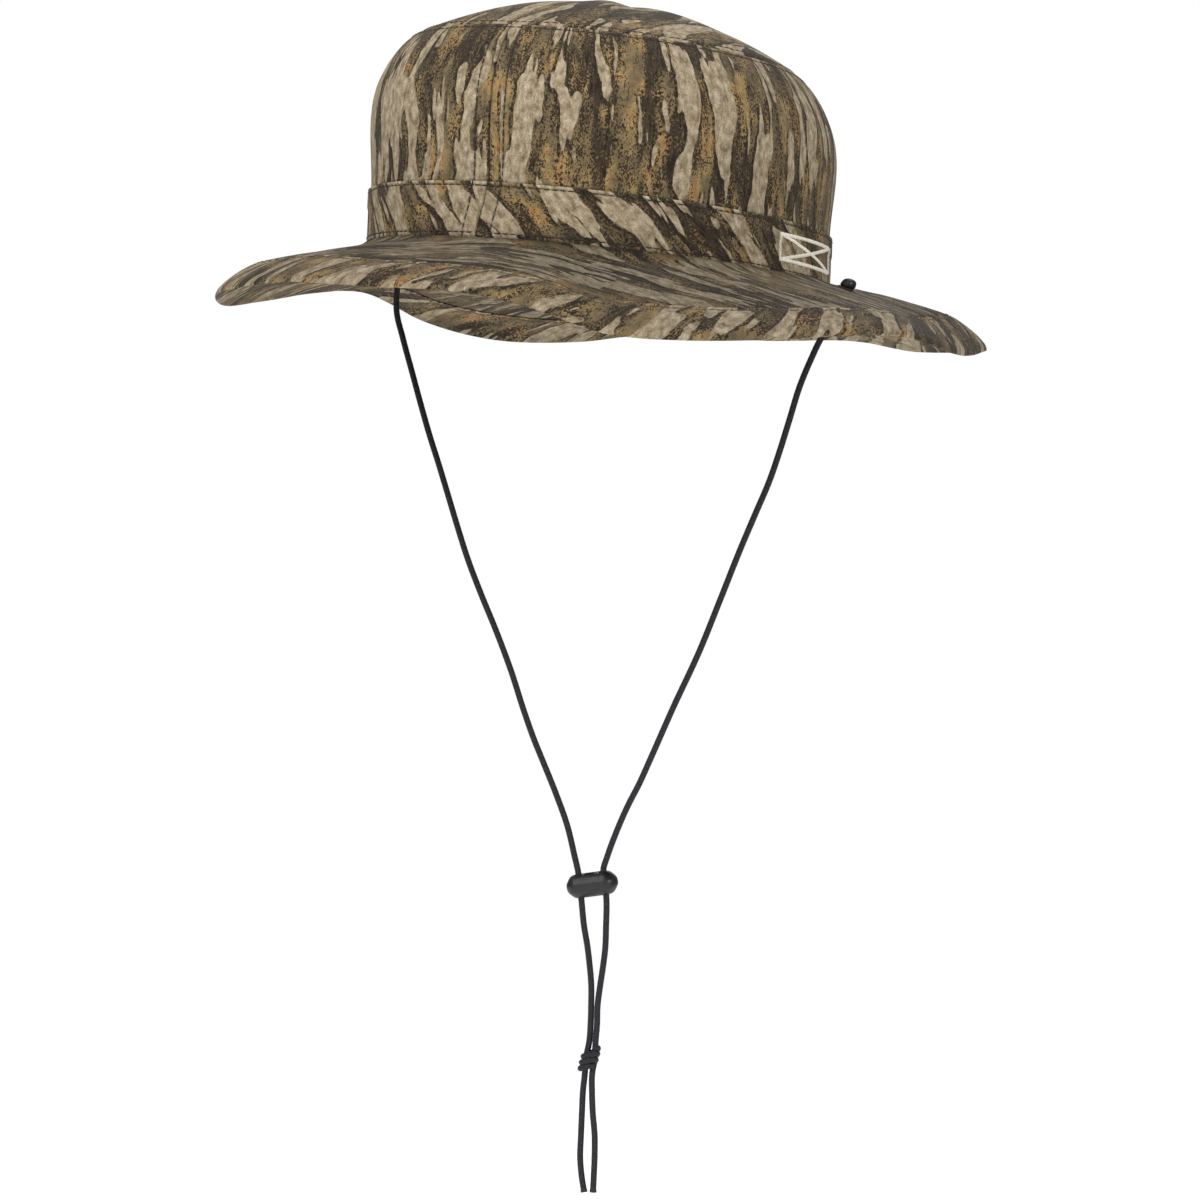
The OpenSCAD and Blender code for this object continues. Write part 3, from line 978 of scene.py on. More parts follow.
@dataclass(frozen=True)
class Stitch:
    """A kind of stitch: its thread, and how it is laid.

    Attributes:
        pitch: distance from stitch to stitch.
        length: length of the thread that shows.
        width: width of the thread.
        seed: fixes how the stitches vary.
        crossways: whether each stitch lies across the line, as in satin stitch.
    """

    pitch: float = 3.0 * MM
    length: float = 2.65 * MM
    width: float = 0.56 * MM
    seed: int = 5
    crossways: bool = False


class Stitcher(Nodes):
    """Sews rows of stitches with one geometry node tree."""

    def __init__(self) -> None:
        """Builds the tree that lays a thread at each step along a line."""
        super().__init__(bpy.data.node_groups.new("stitch_row", "GeometryNodeTree"))
        kinds = {"Line": "Geometry", "Pitch": "Float", "Length": "Float", "Width": "Float",
                 "Crossways": "Float", "Seed": "Int", "Thread": "Material"}
        self.sockets = {name: self.socket(name, "INPUT", kind) for name, kind in kinds.items()}
        self.socket("Stitches", "OUTPUT", "Geometry")
        given = self.node("NodeGroupInput", {}).outputs
        line = self.node("GeometryNodeMeshToCurve", {"Mesh": given["Line"]}).outputs[0]
        steps = {"Curve": line, "Length": given["Pitch"]}
        points = self.node("GeometryNodeCurveToPoints", steps, mode="LENGTH").outputs
        ball = {"Segments": 6, "Rings": 5, "Radius": 0.5}
        bead = self.node("GeometryNodeMeshUVSphere", ball).outputs["Mesh"]
        wide = given["Width"]
        scale = self.node("ShaderNodeCombineXYZ", {0: wide, 1: wide, 2: given["Length"]}).outputs[0]
        thread = self.node("GeometryNodeTransform", {"Geometry": bead, "Scale": scale}).outputs[0]
        soft = self.node("GeometryNodeSetShadeSmooth", {"Geometry": thread}).outputs[0]
        lean = self.vary(-0.07, 0.07, given["Seed"])
        sweep = {0: given["Crossways"], 1: lean}
        across = self.node("ShaderNodeMath", sweep, operation="ADD").outputs[0]
        twist = self.node("ShaderNodeCombineXYZ", {0: across, 1: lean}).outputs[0]
        turn = self.node("FunctionNodeEulerToRotation", {0: twist}).outputs[0]
        swing = {0: points["Rotation"], 1: turn}
        aim = self.node("FunctionNodeRotateRotation", swing, rotation_space="LOCAL").outputs[0]
        size = self.vary(0.88, 1.08, given["Seed"])
        spread = {"Points": points["Points"], "Instance": soft, "Rotation": aim, "Scale": size}
        laid = self.node("GeometryNodeInstanceOnPoints", spread).outputs[0]
        real = self.node("GeometryNodeRealizeInstances", {0: laid}).outputs[0]
        dyed = self.node("GeometryNodeSetMaterial", {0: real, 2: given["Thread"]}).outputs[0]
        self.node("NodeGroupOutput", {0: dyed})

    def socket(self, name: str, way: str, kind: str) -> str:
        """Adds an input or output to the tree, and returns its identifier."""
        made = self.tree.interface.new_socket(name=name, in_out=way, socket_type="NodeSocket" + kind)
        return made.identifier

    def vary(self, low: float, high: float, seed: Socket) -> Socket:
        """Draws a random value between low and high for each stitch."""
        inputs = {2: low, 3: high, "Seed": seed}
        return self.node("FunctionNodeRandomValue", inputs, data_type="FLOAT").outputs[1]

    def sew(self, name: str, rows: list[Row], stitch: Stitch, thread: Material,
            slot: str | None = None, nodes: tuple[str, ...] = ()) -> Object:
        """Sews the rows as one piece.

        Args:
            name: the piece's name.
            rows: the lines to follow.
            stitch: the kind of stitch.
            thread: the thread's material.
            slot: the record's material slot, or None.
            nodes: the part's nodes that the stitching stands for.

        Returns:
            The stitches, as one plain mesh.
        """
        edges, start = [], 0
        for row in rows:
            count = len(row.points)
            edges += [(start + k, start + k + 1) for k in range(count - 1)]
            if row.closed:
                edges.append((start + count - 1, start))
            start += count
        line = bpy.data.meshes.new(name + "_line")
        line.from_pydata(np.concatenate([row.points for row in rows]).tolist(), edges, [])
        guide = placed(name + "_guide", line)
        modifier = guide.modifiers.new("stitches", "NODES")
        modifier.node_group = self.tree
        quarter = math.pi / 2 if stitch.crossways else 0.0
        values = {"Pitch": stitch.pitch, "Length": stitch.length, "Width": stitch.width,
                  "Crossways": quarter, "Seed": stitch.seed, "Thread": thread}
        for key, value in values.items():
            modifier[self.sockets[key]] = value
        mesh = baked(guide)
        bpy.data.meshes.remove(line)
        return settle(placed(name, mesh), thread, slot, *nodes)


# --- The hat's surfaces, read from the part ---


class CrownForm:
    """The crown's wall: its outline at each height, and places on it by distance round and up the cloth.

    Distance round is measured from the front seam, towards the wearer's left. Distance up is measured along
    the wall from the brim seam.

    Attributes:
        seam_lean: how far the front seam leans over, from the brim seam to the band's top.
        seam_fade: how far round the cloth leans with it.
        row_gap: distance from the front or back seam to the row of stitches on each side of it.
        thread_pitch: distance from pucker to pucker along such a row.
    """

    seam_lean = 3.7 * MM
    seam_fade = 35 * MM
    row_gap = 5.7 * MM
    thread_pitch = 3 * MM

    def __init__(self) -> None:
        """Reads the outline from the crown's side panels and its band."""
        points = node_points("crown_side_left", "crown_side_right")
        levels = np.unique(np.round(points[:, 2], 5))
        rows = []
        for level in levels:
            ring = points[np.abs(points[:, 2] - level) < 0.01 * MM]
            low, high = ring.min(axis=0), ring.max(axis=0)
            rows.append([(high[0] - low[0]) / 2, (high[1] - low[1]) / 2, (high[0] + low[0]) / 2, level])
        self.levels = np.array(rows)
        steps = np.hypot(np.diff(self.levels[:, 0]), np.diff(self.levels[:, 3]))
        self.path = np.concatenate([[0], np.cumsum(steps)]) + self.levels[0, 3]
        self.top = float(self.path[-1])
        self.shell = float(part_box("crown_band_left")[1].x) - float(self.levels[:, 0].max())
        self.band_top = float(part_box("crown_band_left")[1].z)
        angle = np.linspace(-math.pi, math.pi, 1441)
        middle = self.outline(angle, np.full(angle.shape, 0.35 * self.top), 0.0)
        gone = np.concatenate([[0], np.cumsum(np.linalg.norm(np.diff(middle, axis=0), axis=1))])
        self.half = float(gone[-1]) / 2
        self._arc = gone - self.half
        self._angle = angle
        self.sag = Waves(3, 11, 7, 0.42 * MM, 6.0, 11)
        self.creases = Waves(14, 34, 6, 0.1 * MM, 16.0, 23)

    def outline(self, angle: np.ndarray, up: np.ndarray, out: np.ndarray | float) -> np.ndarray:
        """Points on the plain wall at angles and distances up it, moved out by a distance."""
        read = smooth_curve(self.path, self.levels, np.ravel(up)).reshape(*np.shape(up), 4)
        wide, long, middle, height = np.moveaxis(read, -1, 0)
        x = middle + (wide + out) * np.sin(angle)
        y = -(long + out) * np.cos(angle)
        return np.stack(np.broadcast_arrays(x, y, height), axis=-1)

    def angle_at(self, around: np.ndarray) -> np.ndarray:
        """The angle at a distance round the hat."""
        return np.interp((around + self.half) % (2 * self.half) - self.half, self._arc, self._angle)

    def around_at(self, angle: float) -> float:
        """The distance round the hat at an angle."""
        return float(np.interp(angle, self._angle, self._arc))

    def off_seam(self, around: np.ndarray) -> np.ndarray:
        """Distance to the nearer of the front and back seams."""
        return np.minimum(np.abs(around), self.half - np.abs(around))

    def lean(self, up: np.ndarray) -> np.ndarray:
        """How far the front seam has leant over at a distance up the wall."""
        return self.seam_lean * ease(up, 0, self.band_top)

    def seams(self, around: np.ndarray, up: np.ndarray) -> np.ndarray:
        """Relief of the pressed-open front and back seams and their two rows of stitching."""
        off = self.off_seam(around)
        relief = 0.28 * MM * ease(off, 9 * MM, 7 * MM)
        relief = relief - 0.5 * MM * bell(off, 0, 0.45 * MM)
        ripple = 1 + 0.35 * np.sin(up * TURN / self.thread_pitch)
        return relief - 0.2 * MM * bell(off, self.row_gap, 0.7 * MM) * ripple

    def place(self, around: np.ndarray, up: np.ndarray, out: np.ndarray | float = 0.0,
              soft: float = 1.0) -> np.ndarray:
        """Points on the sewn wall.

        Args:
            around: distances round the hat from the front seam.
            up: distances up the wall.
            out: distances out from the side panels' face.
            soft: how much of the waves the cloth has.

        Returns:
            The points, in the shape of the distances.
        """
        around, up, out = np.broadcast_arrays(around, up, out)
        moved = around + self.lean(up) * bell(around, 0, self.seam_fade)
        angle = self.angle_at(moved)
        inside = np.sin(math.pi * np.clip(up / self.top, 0, 1)) ** 0.7
        waves = (self.sag.at(angle, up) + self.creases.at(angle, up)) * inside
        relief = np.clip(waves, -0.5 * MM, 1.1 * MM) + self.seams(around, up)
        return self.outline(angle, up, out + soft * relief)


class BrimForm:
    """The brim's middle surface, by angle round the hat and share of its width from the crown to the edge.

    Attributes:
        seam: where the edge facing starts, as a share of the width.
        width: the width that the waves are laid out over.
    """

    seam = 0.75
    width = 60 * MM

    def __init__(self) -> None:
        """Reads the brim's columns of points back from its four cloth nodes."""
        band = node_points("crown_band_left", "crown_band_right")
        root = band[np.abs(band[:, 2]) < 0.01 * MM]
        self.wide, self.long = float(root[:, 0].max()), float(root[:, 1].max())
        points = node_points("brim_top_ply", "brim_interlining", "brim_under_ply", "brim_edge_facing")
        angle, reach = self._oval(points)
        columns = 72
        step = TURN / columns
        column = np.round(angle / step).astype(int)
        on = np.abs(angle - column * step) < math.radians(0.05)
        column, reach, height = column[on] % columns, reach[on], points[on, 2]
        far = np.array([reach[column == k].max() for k in range(columns)])
        share = np.round(reach / far[column], 3)
        shares = np.array([s for s in np.unique(share) if len(set(column[share == s])) == columns])
        cells = [[height[(column == k) & (share == s)] for s in shares] for k in range(columns)]
        grid = np.array([[(cell.max() + cell.min()) / 2 for cell in row] for row in cells])
        self.shares = shares
        turns = np.arange(-3, columns + 4)
        self.angles = turns * step
        self.heights = grid[turns % columns]
        self.reaches = far[turns % columns]
        stack = height[(column == 0) & (share == self.seam)]
        self.half = float((stack.max() - stack.min()) / 2)
        self.sag = Waves(5, 13, 6, 0.35 * MM, 5.0, 41)
        self.pucker = Waves(80, 130, 5, 0.16 * MM, 10.0, 47)

    def _oval(self, points: np.ndarray) -> tuple[np.ndarray, np.ndarray]:
        """Finds points on the crown's oval.

        Args:
            points: rows of x, y and z.

        Returns:
            The angle of each point, from 0 to a full turn, and its distance out from the oval.
        """
        x, y = points[:, 0], -points[:, 1]
        extra = self.long - self.wide
        angle = np.arctan2(x, y)
        for _ in range(8):
            sine, cosine = np.sin(angle), np.cos(angle)
            error = x * cosine - y * sine + extra * sine * cosine
            slope = -x * sine - y * cosine + extra * np.cos(2 * angle)
            angle = angle - error / slope
        sine, cosine = np.sin(angle), np.cos(angle)
        return angle % TURN, (x - self.wide * sine) * sine + (y - self.long * cosine) * cosine

    def reach(self, angle: np.ndarray) -> np.ndarray:
        """Width of the brim at each angle."""
        flat = np.ravel(angle) % TURN
        return smooth_curve(self.angles, self.reaches, flat).reshape(np.shape(angle))

    def place(self, angle: np.ndarray, share: np.ndarray, lift: np.ndarray | float) -> np.ndarray:
        """Points on the sewn brim.

        Args:
            angle: angles round the hat, one for each row.
            share: shares of the brim's width, one for each column.
            lift: height above the brim's middle surface, one for each column or point.

        Returns:
            A grid of points, by angle and share.
        """
        across = smooth_curve(self.shares, self.heights.T, np.ravel(share))
        height = smooth_curve(self.angles, across.T, angle % TURN)
        reach = self.reach(angle)[:, None] * share[None, :]
        turn = angle[:, None]
        metres = share[None, :] * self.width
        waves = self.sag.at(turn, metres) * ease(metres, 0, 20 * MM)
        waves = waves + self.pucker.at(turn, metres) * bell(share[None, :], self.seam, 0.07)
        x = (self.wide + reach) * np.sin(turn)
        y = -(self.long + reach) * np.cos(turn)
        return np.stack(np.broadcast_arrays(x, y, height + lift + waves), axis=-1)


def bark_direction(along: np.ndarray, across: np.ndarray, lean: float) -> np.ndarray:
    """Turns cloth coordinates, so that the bark runs at an angle across a strip of cloth.

    Args:
        along: distances along the strip.
        across: distances across it.
        lean: angle of the bark from straight across, in degrees.

    Returns:
        A grid of cloth coordinates.
    """
    turn = math.radians(lean)
    side = along * math.cos(turn) - across * math.sin(turn)
    grain = along * math.sin(turn) + across * math.cos(turn)
    return np.stack(np.broadcast_arrays(side, grain), axis=-1)


def oval_dome(node: str, angle: np.ndarray, share: np.ndarray) -> np.ndarray:
    """Domes an oval over a node's box.

    Args:
        node: the part's node that gives the box.
        angle: angles round the dome.
        share: shares of the way from the middle to the edge.

    Returns:
        A grid of points, by angle and share.
    """
    low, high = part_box(node)
    wide, long = (high.x - low.x) / 2, (high.y - low.y) / 2
    x = (high.x + low.x) / 2 + wide * share[None, :] * np.sin(angle)[:, None]
    y = -long * share[None, :] * np.cos(angle)[:, None]
    height = low.z + (high.z - low.z) * (1 - share[None, :] ** DOME_POWER)
    return np.stack(np.broadcast_arrays(x, y, height), axis=-1)


# --- Sub-assemblies ---


@dataclass
class Crown:
    """The crown: two side panels, the domed tip and the folded band, with their topstitching.

    Attributes:
        form: the crown's wall.
        finishes: the hat's finishes.
        stitcher: sews the rows.
        columns: points round half the hat.
        thick: thickness of the shell cloth.
        tuck: how far the cloth turns in at the top seam.
        fold: distance from the band's folded edge to its row of stitches.
        foot: height of the band's lower row of stitches.
        top_row: distance from the top seam down to the row below it.
        thread: how far a row of thread stands off the cloth.
        tip_waves: the soft waves in the tip.
    """

    form: CrownForm
    finishes: Finishes
    stitcher: Stitcher
    columns: int = 420
    thick: float = 0.7 * MM
    tuck: float = 1.5 * MM
    fold: float = 1.1 * MM
    foot: float = 1.5 * MM
    top_row: float = 2.2 * MM
    thread: float = 0.08 * MM
    tip_waves: Waves = Waves(3, 9, 6, 0.5 * MM, 7.0, 61)

    def build(self) -> None:
        """Builds the crown's cloth and sews it."""
        for side in Side:
            self.side_panel(side)
            self.band(side)
        self.sew(self.tip())

    def around(self, side: Side) -> np.ndarray:
        """Distances round one half of the hat, from the front seam to the back one, crowded at the seams."""
        share = np.linspace(0, 1, self.columns)
        share = share - 0.75 * np.sin(TURN * share) / TURN
        return share * self.form.half * side.value

    def side_panel(self, side: Side) -> None:
        """One side panel, from under the band to its turned-in top edge."""
        form = self.form
        around = self.around(side)[:, None]
        lines = [form.band_top, form.top - 1.6 * MM]
        up = rows_across(form.path[0], form.top, 2.6 * MM, lines, 2 * MM)[None, :]
        below = form.top - up
        turned_in = -self.tuck * ease(below, 1.0 * MM, -0.4 * MM)
        dip = -0.18 * MM * bell(below, self.top_row, 0.6 * MM)
        face = form.place(around, up, turned_in + dip)
        shift = 0.4 if side is Side.RIGHT else 0.0
        cloth = bark_direction(around + shift, up, 0.0)
        # Painted shade in the seams, under the top row and just above the band's top edge; painted highlight
        # along the turned-in top edge.
        wear = self.seam_painted_shade(around) - 0.45 * ease(up - form.band_top, 1.5 * MM, 0.2 * MM)
        wear = wear - 0.3 * bell(below, self.top_row, 0.5 * MM) + 0.12 * bell(below, 0.7 * MM, 0.6 * MM)
        name = f"crown_side_{side.word}"
        piece = sheet_of_cloth(name + "_cloth", face, self.thick, cloth, False, side.value, wear)
        settle(piece, self.finishes.crown, "shell_cloth", name)

    def seam_painted_shade(self, around: np.ndarray) -> np.ndarray:
        """Painted shade: how much darker the cloth is painted in the grooves of the front and back seams and
        under their rows.
        """
        off = self.form.off_seam(around)
        return -0.6 * bell(off, 0, 0.4 * MM) - 0.4 * bell(off, self.form.row_gap, 0.45 * MM)

    def band_out(self, up: np.ndarray) -> np.ndarray:
        """How far the band stands out from the side panels: more where its top edge is turned under."""
        form = self.form
        under = 0.35 * MM * ease(up, form.band_top - 8 * MM, form.band_top - 7 * MM)
        dip = -0.22 * MM * bell(up, form.band_top - self.fold, 0.5 * MM)
        return form.shell + 0.1 * MM + under + dip - 0.12 * MM * bell(up, self.foot, 0.6 * MM)

    def band(self, side: Side) -> None:
        """One half of the band, from the brim seam to its folded top edge."""
        form = self.form
        around = self.around(side)[:, None]
        up = rows_across(form.path[0], form.band_top, 1.6 * MM, [0.8 * MM, form.band_top - 0.8 * MM])[None, :]
        face = form.place(around, up, self.band_out(up))
        cloth = bark_direction(around + 1.3, up, -48.0 if side is Side.LEFT else -40.0)
        below = form.band_top - up
        # Painted highlight along the folded top edge; painted shade in the seams, in the crease at the brim
        # and under both rows.
        wear = self.seam_painted_shade(around) + 0.22 * ease(below, 0.8 * MM, 0.2 * MM)
        wear = wear - 0.45 * ease(up, 1.0 * MM, 0.0)
        wear = wear - 0.35 * bell(below, self.fold, 0.4 * MM) - 0.3 * bell(up, self.foot, 0.5 * MM)
        name = f"crown_band_{side.word}"
        piece = sheet_of_cloth(name + "_cloth", face, self.thick + 0.05 * MM, cloth, False, side.value, wear)
        settle(piece, self.finishes.band, "shell_cloth", name)

    def tip(self) -> np.ndarray:
        """The domed tip, its edge tucked into the top seam.

        Returns:
            The line beside the seam that its row of stitches follows.
        """
        low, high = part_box("crown_tip")
        angle = np.linspace(0, TURN, 720, endpoint=False)
        edge = [1.0, 0.997, 0.992, 0.985, 0.976, 0.965]
        share = np.concatenate([edge, np.linspace(0.95, 0.0, 34)])
        face = oval_dome("crown_tip", angle, share)
        tucked = self.tuck * ease(share, 0.978, 1.003) + 0.2 * MM * bell(share, 0.968, 0.006)
        waves = self.tip_waves.at(angle[:, None], share[None, :] * (high.x - low.x) / 2)
        face[..., 2] += waves * (1 - share[None, :] ** 8) * ease(share[None, :], 0, 0.35) - tucked
        cloth = face[..., :2] * np.array([1.0, -1.0]) + 0.7
        piece = dome_of_cloth("crown_tip_cloth", face, self.thick, cloth)
        settle(piece, self.finishes.crown, "shell_cloth", "crown_tip")
        return face[:, len(edge) - 1] + np.array([0, 0, self.thread])

    def sew(self, tip_row: np.ndarray) -> None:
        """Sews the front and back seams, both sides of the top seam, and the band's two edges.

        Args:
            tip_row: the line of the row on the tip.
        """
        form = self.form
        seam_up = np.linspace(form.band_top + 0.6 * MM, form.top - 1.6 * MM, 120)
        band_up = np.linspace(0.6 * MM, form.band_top - 0.3 * MM, 50)
        seams, edges = [], []
        for middle in (0.0, form.half):
            for off in (-form.row_gap, form.row_gap):
                seams.append(Row(form.place(middle + off, seam_up, self.thread)))
                seams.append(Row(form.place(middle + off, band_up, self.band_out(band_up) + self.thread)))
        around = np.linspace(-form.half, form.half, 900, endpoint=False)
        for up in (form.band_top - self.fold, self.foot):
            edges.append(Row(form.place(around, up, self.band_out(np.array(up)) + self.thread), True))
        tops = [Row(form.place(around, form.top - self.top_row, -0.1 * MM), True), Row(tip_row, True)]
        dyed = self.finishes.seam_thread
        self.stitcher.sew("crown_seam_stitching", seams, Stitch(), dyed)
        self.stitcher.sew("crown_band_stitching", edges, Stitch(seed=8), dyed)
        self.stitcher.sew("crown_top_stitching", tops, Stitch(seed=9), dyed)


@dataclass
class Brim:
    """The brim: two inner plies, the stiffener between them and the bias facing round the edge.

    Attributes:
        form: the brim's middle surface.
        finishes: the hat's finishes.
        stitcher: sews the rows.
        columns: points round the hat.
        ply: thickness of a cloth ply.
        lap: how far the facing laps over the inner plies, as a share of the width.
        proud: how far the facing stands above the inner plies.
        row: distance from the facing's edge to its row of stitches, as a share of the width.
        sink: how deep that row pulls the cloth in.
        width: the brim's usual width, for the facing's roll and print.
        radius: the usual distance of the brim's edge from the hat's middle, for the print.
    """

    form: BrimForm
    finishes: Finishes
    stitcher: Stitcher
    columns: int = 720
    ply: float = 0.6 * MM
    lap: float = 0.014
    proud: float = 0.28 * MM
    row: float = 0.026
    sink: float = 0.24 * MM
    width: float = 58 * MM
    radius: float = 148 * MM

    @property
    def angle(self) -> np.ndarray:
        """The angles of the brim's columns of points."""
        return np.arange(self.columns) / self.columns * TURN

    def build(self) -> None:
        """Builds the brim's layers and sews them."""
        self.inner_ply("brim_top_cloth", "brim_top_ply", 1)
        self.inner_ply("brim_under_cloth", "brim_under_ply", -1)
        self.stiffener()
        self.facing()
        self.sew()

    def inner_ply(self, name: str, node: str, way: int) -> None:
        """One inner ply, from inside the crown seam to under the facing.

        Args:
            name: the piece's name.
            node: the part's node that it stands for.
            way: 1 on top of the brim and -1 under it.
        """
        form = self.form
        share = np.concatenate([np.linspace(-0.008, 0.06, 8), np.linspace(0.08, form.seam - 0.04, 26),
                                np.linspace(form.seam - 0.03, form.seam + 0.012, 10)])
        under_facing = ease(share, form.seam - self.lap - 0.02, form.seam - self.lap)
        lift = (form.half - 0.35 * MM * under_facing) * way
        face = form.place(self.angle, share, lift)
        flat = np.concatenate([face, face[:1]])[..., :2]
        cloth = bark_direction(flat[..., 1] * way, flat[..., 0], 12.0)
        # Painted shade at the crown seam and under the lapped edge of the facing.
        wear = -0.5 * bell(share, 0, 0.022) - 0.3 * bell(share, form.seam - self.lap, 0.02)
        piece = sheet_of_cloth(name, face, self.ply, cloth, True, -way, wear[None, :])
        settle(piece, self.finishes.brim, "brim_cloth", node)

    def stiffener(self) -> None:
        """The canvas stiffener, hidden between the plies."""
        form = self.form
        share = np.linspace(0.01, 0.97, 30)
        thick = 2 * (form.half - self.ply) - 0.5 * MM
        face = form.place(self.angle[::2], share, thick / 2)
        cloth = np.concatenate([face, face[:1]])[..., :2]
        piece = sheet_of_cloth("brim_stiffener", face, thick, cloth, True, -1)
        settle(piece, self.finishes.canvas, "stiffener", "brim_interlining")

    def facing_line(self) -> tuple[np.ndarray, np.ndarray]:
        """The facing's section, over the brim, round its edge and back under it.

        Returns:
            Shares of the brim's width, and heights from its middle surface.
        """
        form = self.form
        roll = form.half / self.width
        start, end = form.seam - self.lap, 1 - roll
        flat = np.concatenate([np.linspace(start, start + 0.05, 15), np.linspace(start + 0.065, end, 12)])
        turn = np.radians(np.linspace(14, 166, 9))
        shares = np.concatenate([flat, end + roll * np.sin(turn), flat[::-1]])
        top = form.half + self.proud * ease(flat, 1.0, form.seam)
        top = top - self.sink * bell(flat, start + self.row, 0.011)
        lifts = np.concatenate([top, form.half * np.cos(turn), -top[::-1]])
        return shares, lifts

    def facing(self) -> None:
        """The facing, folded over the edge and lapped on both plies."""
        form = self.form
        shares, lifts = self.facing_line()
        face = form.place(self.angle, shares, lifts)
        around = np.arange(self.columns + 1) / self.columns * TURN * self.radius
        out, rise = np.diff(shares, prepend=shares[0]) * self.width, np.diff(lifts, prepend=lifts[0])
        across = np.cumsum(np.hypot(out, rise))
        cloth = bark_direction(around[:, None], across[None, :], 128.0)
        line = form.seam - self.lap + self.row
        # Painted highlight beside the row and on the rolled edge; painted shade in the row's dip.
        wear = 0.12 * bell(shares, line - 0.02, 0.008) - 0.32 * bell(shares, line, 0.007)
        wear = wear + 0.14 * ease(shares, 0.97, 1)
        thick = self.ply - 0.05 * MM
        piece = sheet_of_cloth("brim_facing_cloth", face, thick, cloth, True, -1, wear[None, :])
        settle(piece, self.finishes.facing, "brim_cloth", "brim_edge_facing")

    def sew(self) -> None:
        """The facing's row, which shows on both faces of the brim."""
        form = self.form
        share = np.array([form.seam - self.lap + self.row])
        lift = form.half + self.proud - self.sink + 0.07 * MM
        rows = [Row(form.place(self.angle, share, lift * way)[:, 0], True) for way in (1, -1)]
        self.stitcher.sew("brim_facing_stitching", rows, Stitch(2.8 * MM, 2.1 * MM, seed=12),
                          self.finishes.edge_thread)


@dataclass(frozen=True)
class WallLayer:
    """A layer inside the crown's wall.

    Attributes:
        node: the part's node that it stands for.
        depth: how far its outer face lies inside the side panels' face.
        thick: its thickness.
        low: its lower edge.
        high: its upper edge.
        start: where it starts round the hat, from the front.
        end: where it ends round the hat; the same as start where it goes right round.
        finish: its material.
        slot: its material slot.
    """

    node: str
    depth: float
    thick: float
    low: float
    high: float
    start: float
    end: float
    finish: Material
    slot: str


@dataclass
class Inside:
    """The inside of the hat: lining, seam tapes, bindings, sweatband and a blank label.

    Attributes:
        form: the crown's wall.
        finishes: the hat's finishes.
        stitcher: sews the rows.
        sweat_row: depth of the rows on the sweatband's inner face.
        label_row: depth of the rows on the label.
    """

    form: CrownForm
    finishes: Finishes
    stitcher: Stitcher
    sweat_row: float = 3.08 * MM
    label_row: float = 3.48 * MM

    def build(self) -> None:
        """Builds each layer from its node's height and place, then the lining's tip and the sewing."""
        form, finishes = self.form, self.finishes
        half = form.half
        tape = 8.0 * MM
        rows = [
            ("lining_side_left", 1.2, 0.35, 0, half, finishes.lining, "lining"),
            ("lining_side_right", 1.2, 0.35, -half, 0, finishes.lining, "lining"),
            ("front_seam_tape", 0.8, 0.35, -tape, tape, finishes.tape, "tape"),
            ("back_seam_tape", 0.8, 0.35, half - tape, half + tape, finishes.tape, "tape"),
            ("top_seam_binding", 0.7, 0.6, 0, 2 * half, finishes.tape, "tape"),
            ("root_seam_binding", 0.7, 0.6, 0, 2 * half, finishes.tape, "tape"),
            ("sweatband", 2.0, 1.0, 0, 2 * half, finishes.sweatband, "sweatband"),
            ("size_label", 3.0, 0.4, half - 17 * MM, half + 17 * MM, finishes.label, "label"),
        ]
        for node, depth, thick, start, end, finish, slot in rows:
            low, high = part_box(node)
            self.layer(WallLayer(node, depth * MM, thick * MM, low.z, high.z, start, end, finish, slot))
        self.lining_tip()
        self.sew()

    def height_to_up(self, height: float) -> float:
        """Distance up the wall at a height."""
        return float(np.interp(height, self.form.levels[:, 3], self.form.path))

    def layer(self, layer: WallLayer) -> None:
        """Makes one layer of the wall."""
        closed = abs(layer.end - layer.start - 2 * self.form.half) < MM
        length = layer.end - layer.start
        count = max(12, round(length / (1.3 * MM)))
        around = np.linspace(layer.start, layer.end, count, endpoint=not closed)
        low, high = self.height_to_up(layer.low), self.height_to_up(layer.high)
        up = np.linspace(low, high, max(6, round((high - low) / (1.8 * MM))))
        face = self.form.place(around[:, None], up[None, :], -layer.depth, 0.0)
        laid = np.append(around, layer.end) if closed else around
        cloth = bark_direction(laid[:, None], up[None, :], 0.0)
        piece = sheet_of_cloth(layer.node + "_cloth", face, layer.thick, cloth, closed)
        settle(piece, layer.finish, layer.slot, layer.node)

    def lining_tip(self) -> None:
        """The lining's domed tip, under the shell's."""
        angle = np.linspace(0, TURN, 240, endpoint=False)
        face = oval_dome("lining_tip", angle, np.linspace(1.0, 0.0, 28))
        piece = dome_of_cloth("lining_tip_cloth", face, 0.35 * MM, face[..., :2])
        settle(piece, self.finishes.lining, "lining", "lining_tip")

    def sew(self) -> None:
        """Rows along the sweatband's two edges and down the label's two ends."""
        form = self.form
        around = np.linspace(0, 2 * form.half, 800, endpoint=False)
        low, high = (self.height_to_up(z.z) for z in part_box("sweatband"))
        heights = (high - 2 * MM, high - 4.2 * MM, low + 3 * MM)
        rows = [Row(form.place(around, up, -self.sweat_row, 0.0), True) for up in heights]
        self.stitcher.sew("sweatband_stitching", rows, Stitch(seed=15), self.finishes.dark_thread)
        label_low, label_high = (self.height_to_up(z.z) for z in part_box("size_label"))
        spots = []
        for edge in (-15.5 * MM, 15.5 * MM):
            up = np.linspace(label_low + MM, label_high - MM, 12)
            spots.append(Row(form.place(form.half + edge, up, -self.label_row, 0.0)))
        self.stitcher.sew("size_label_stitching", spots, Stitch(2.4 * MM, 1.8 * MM, 0.3 * MM, 18),
                          self.finishes.tack_thread)


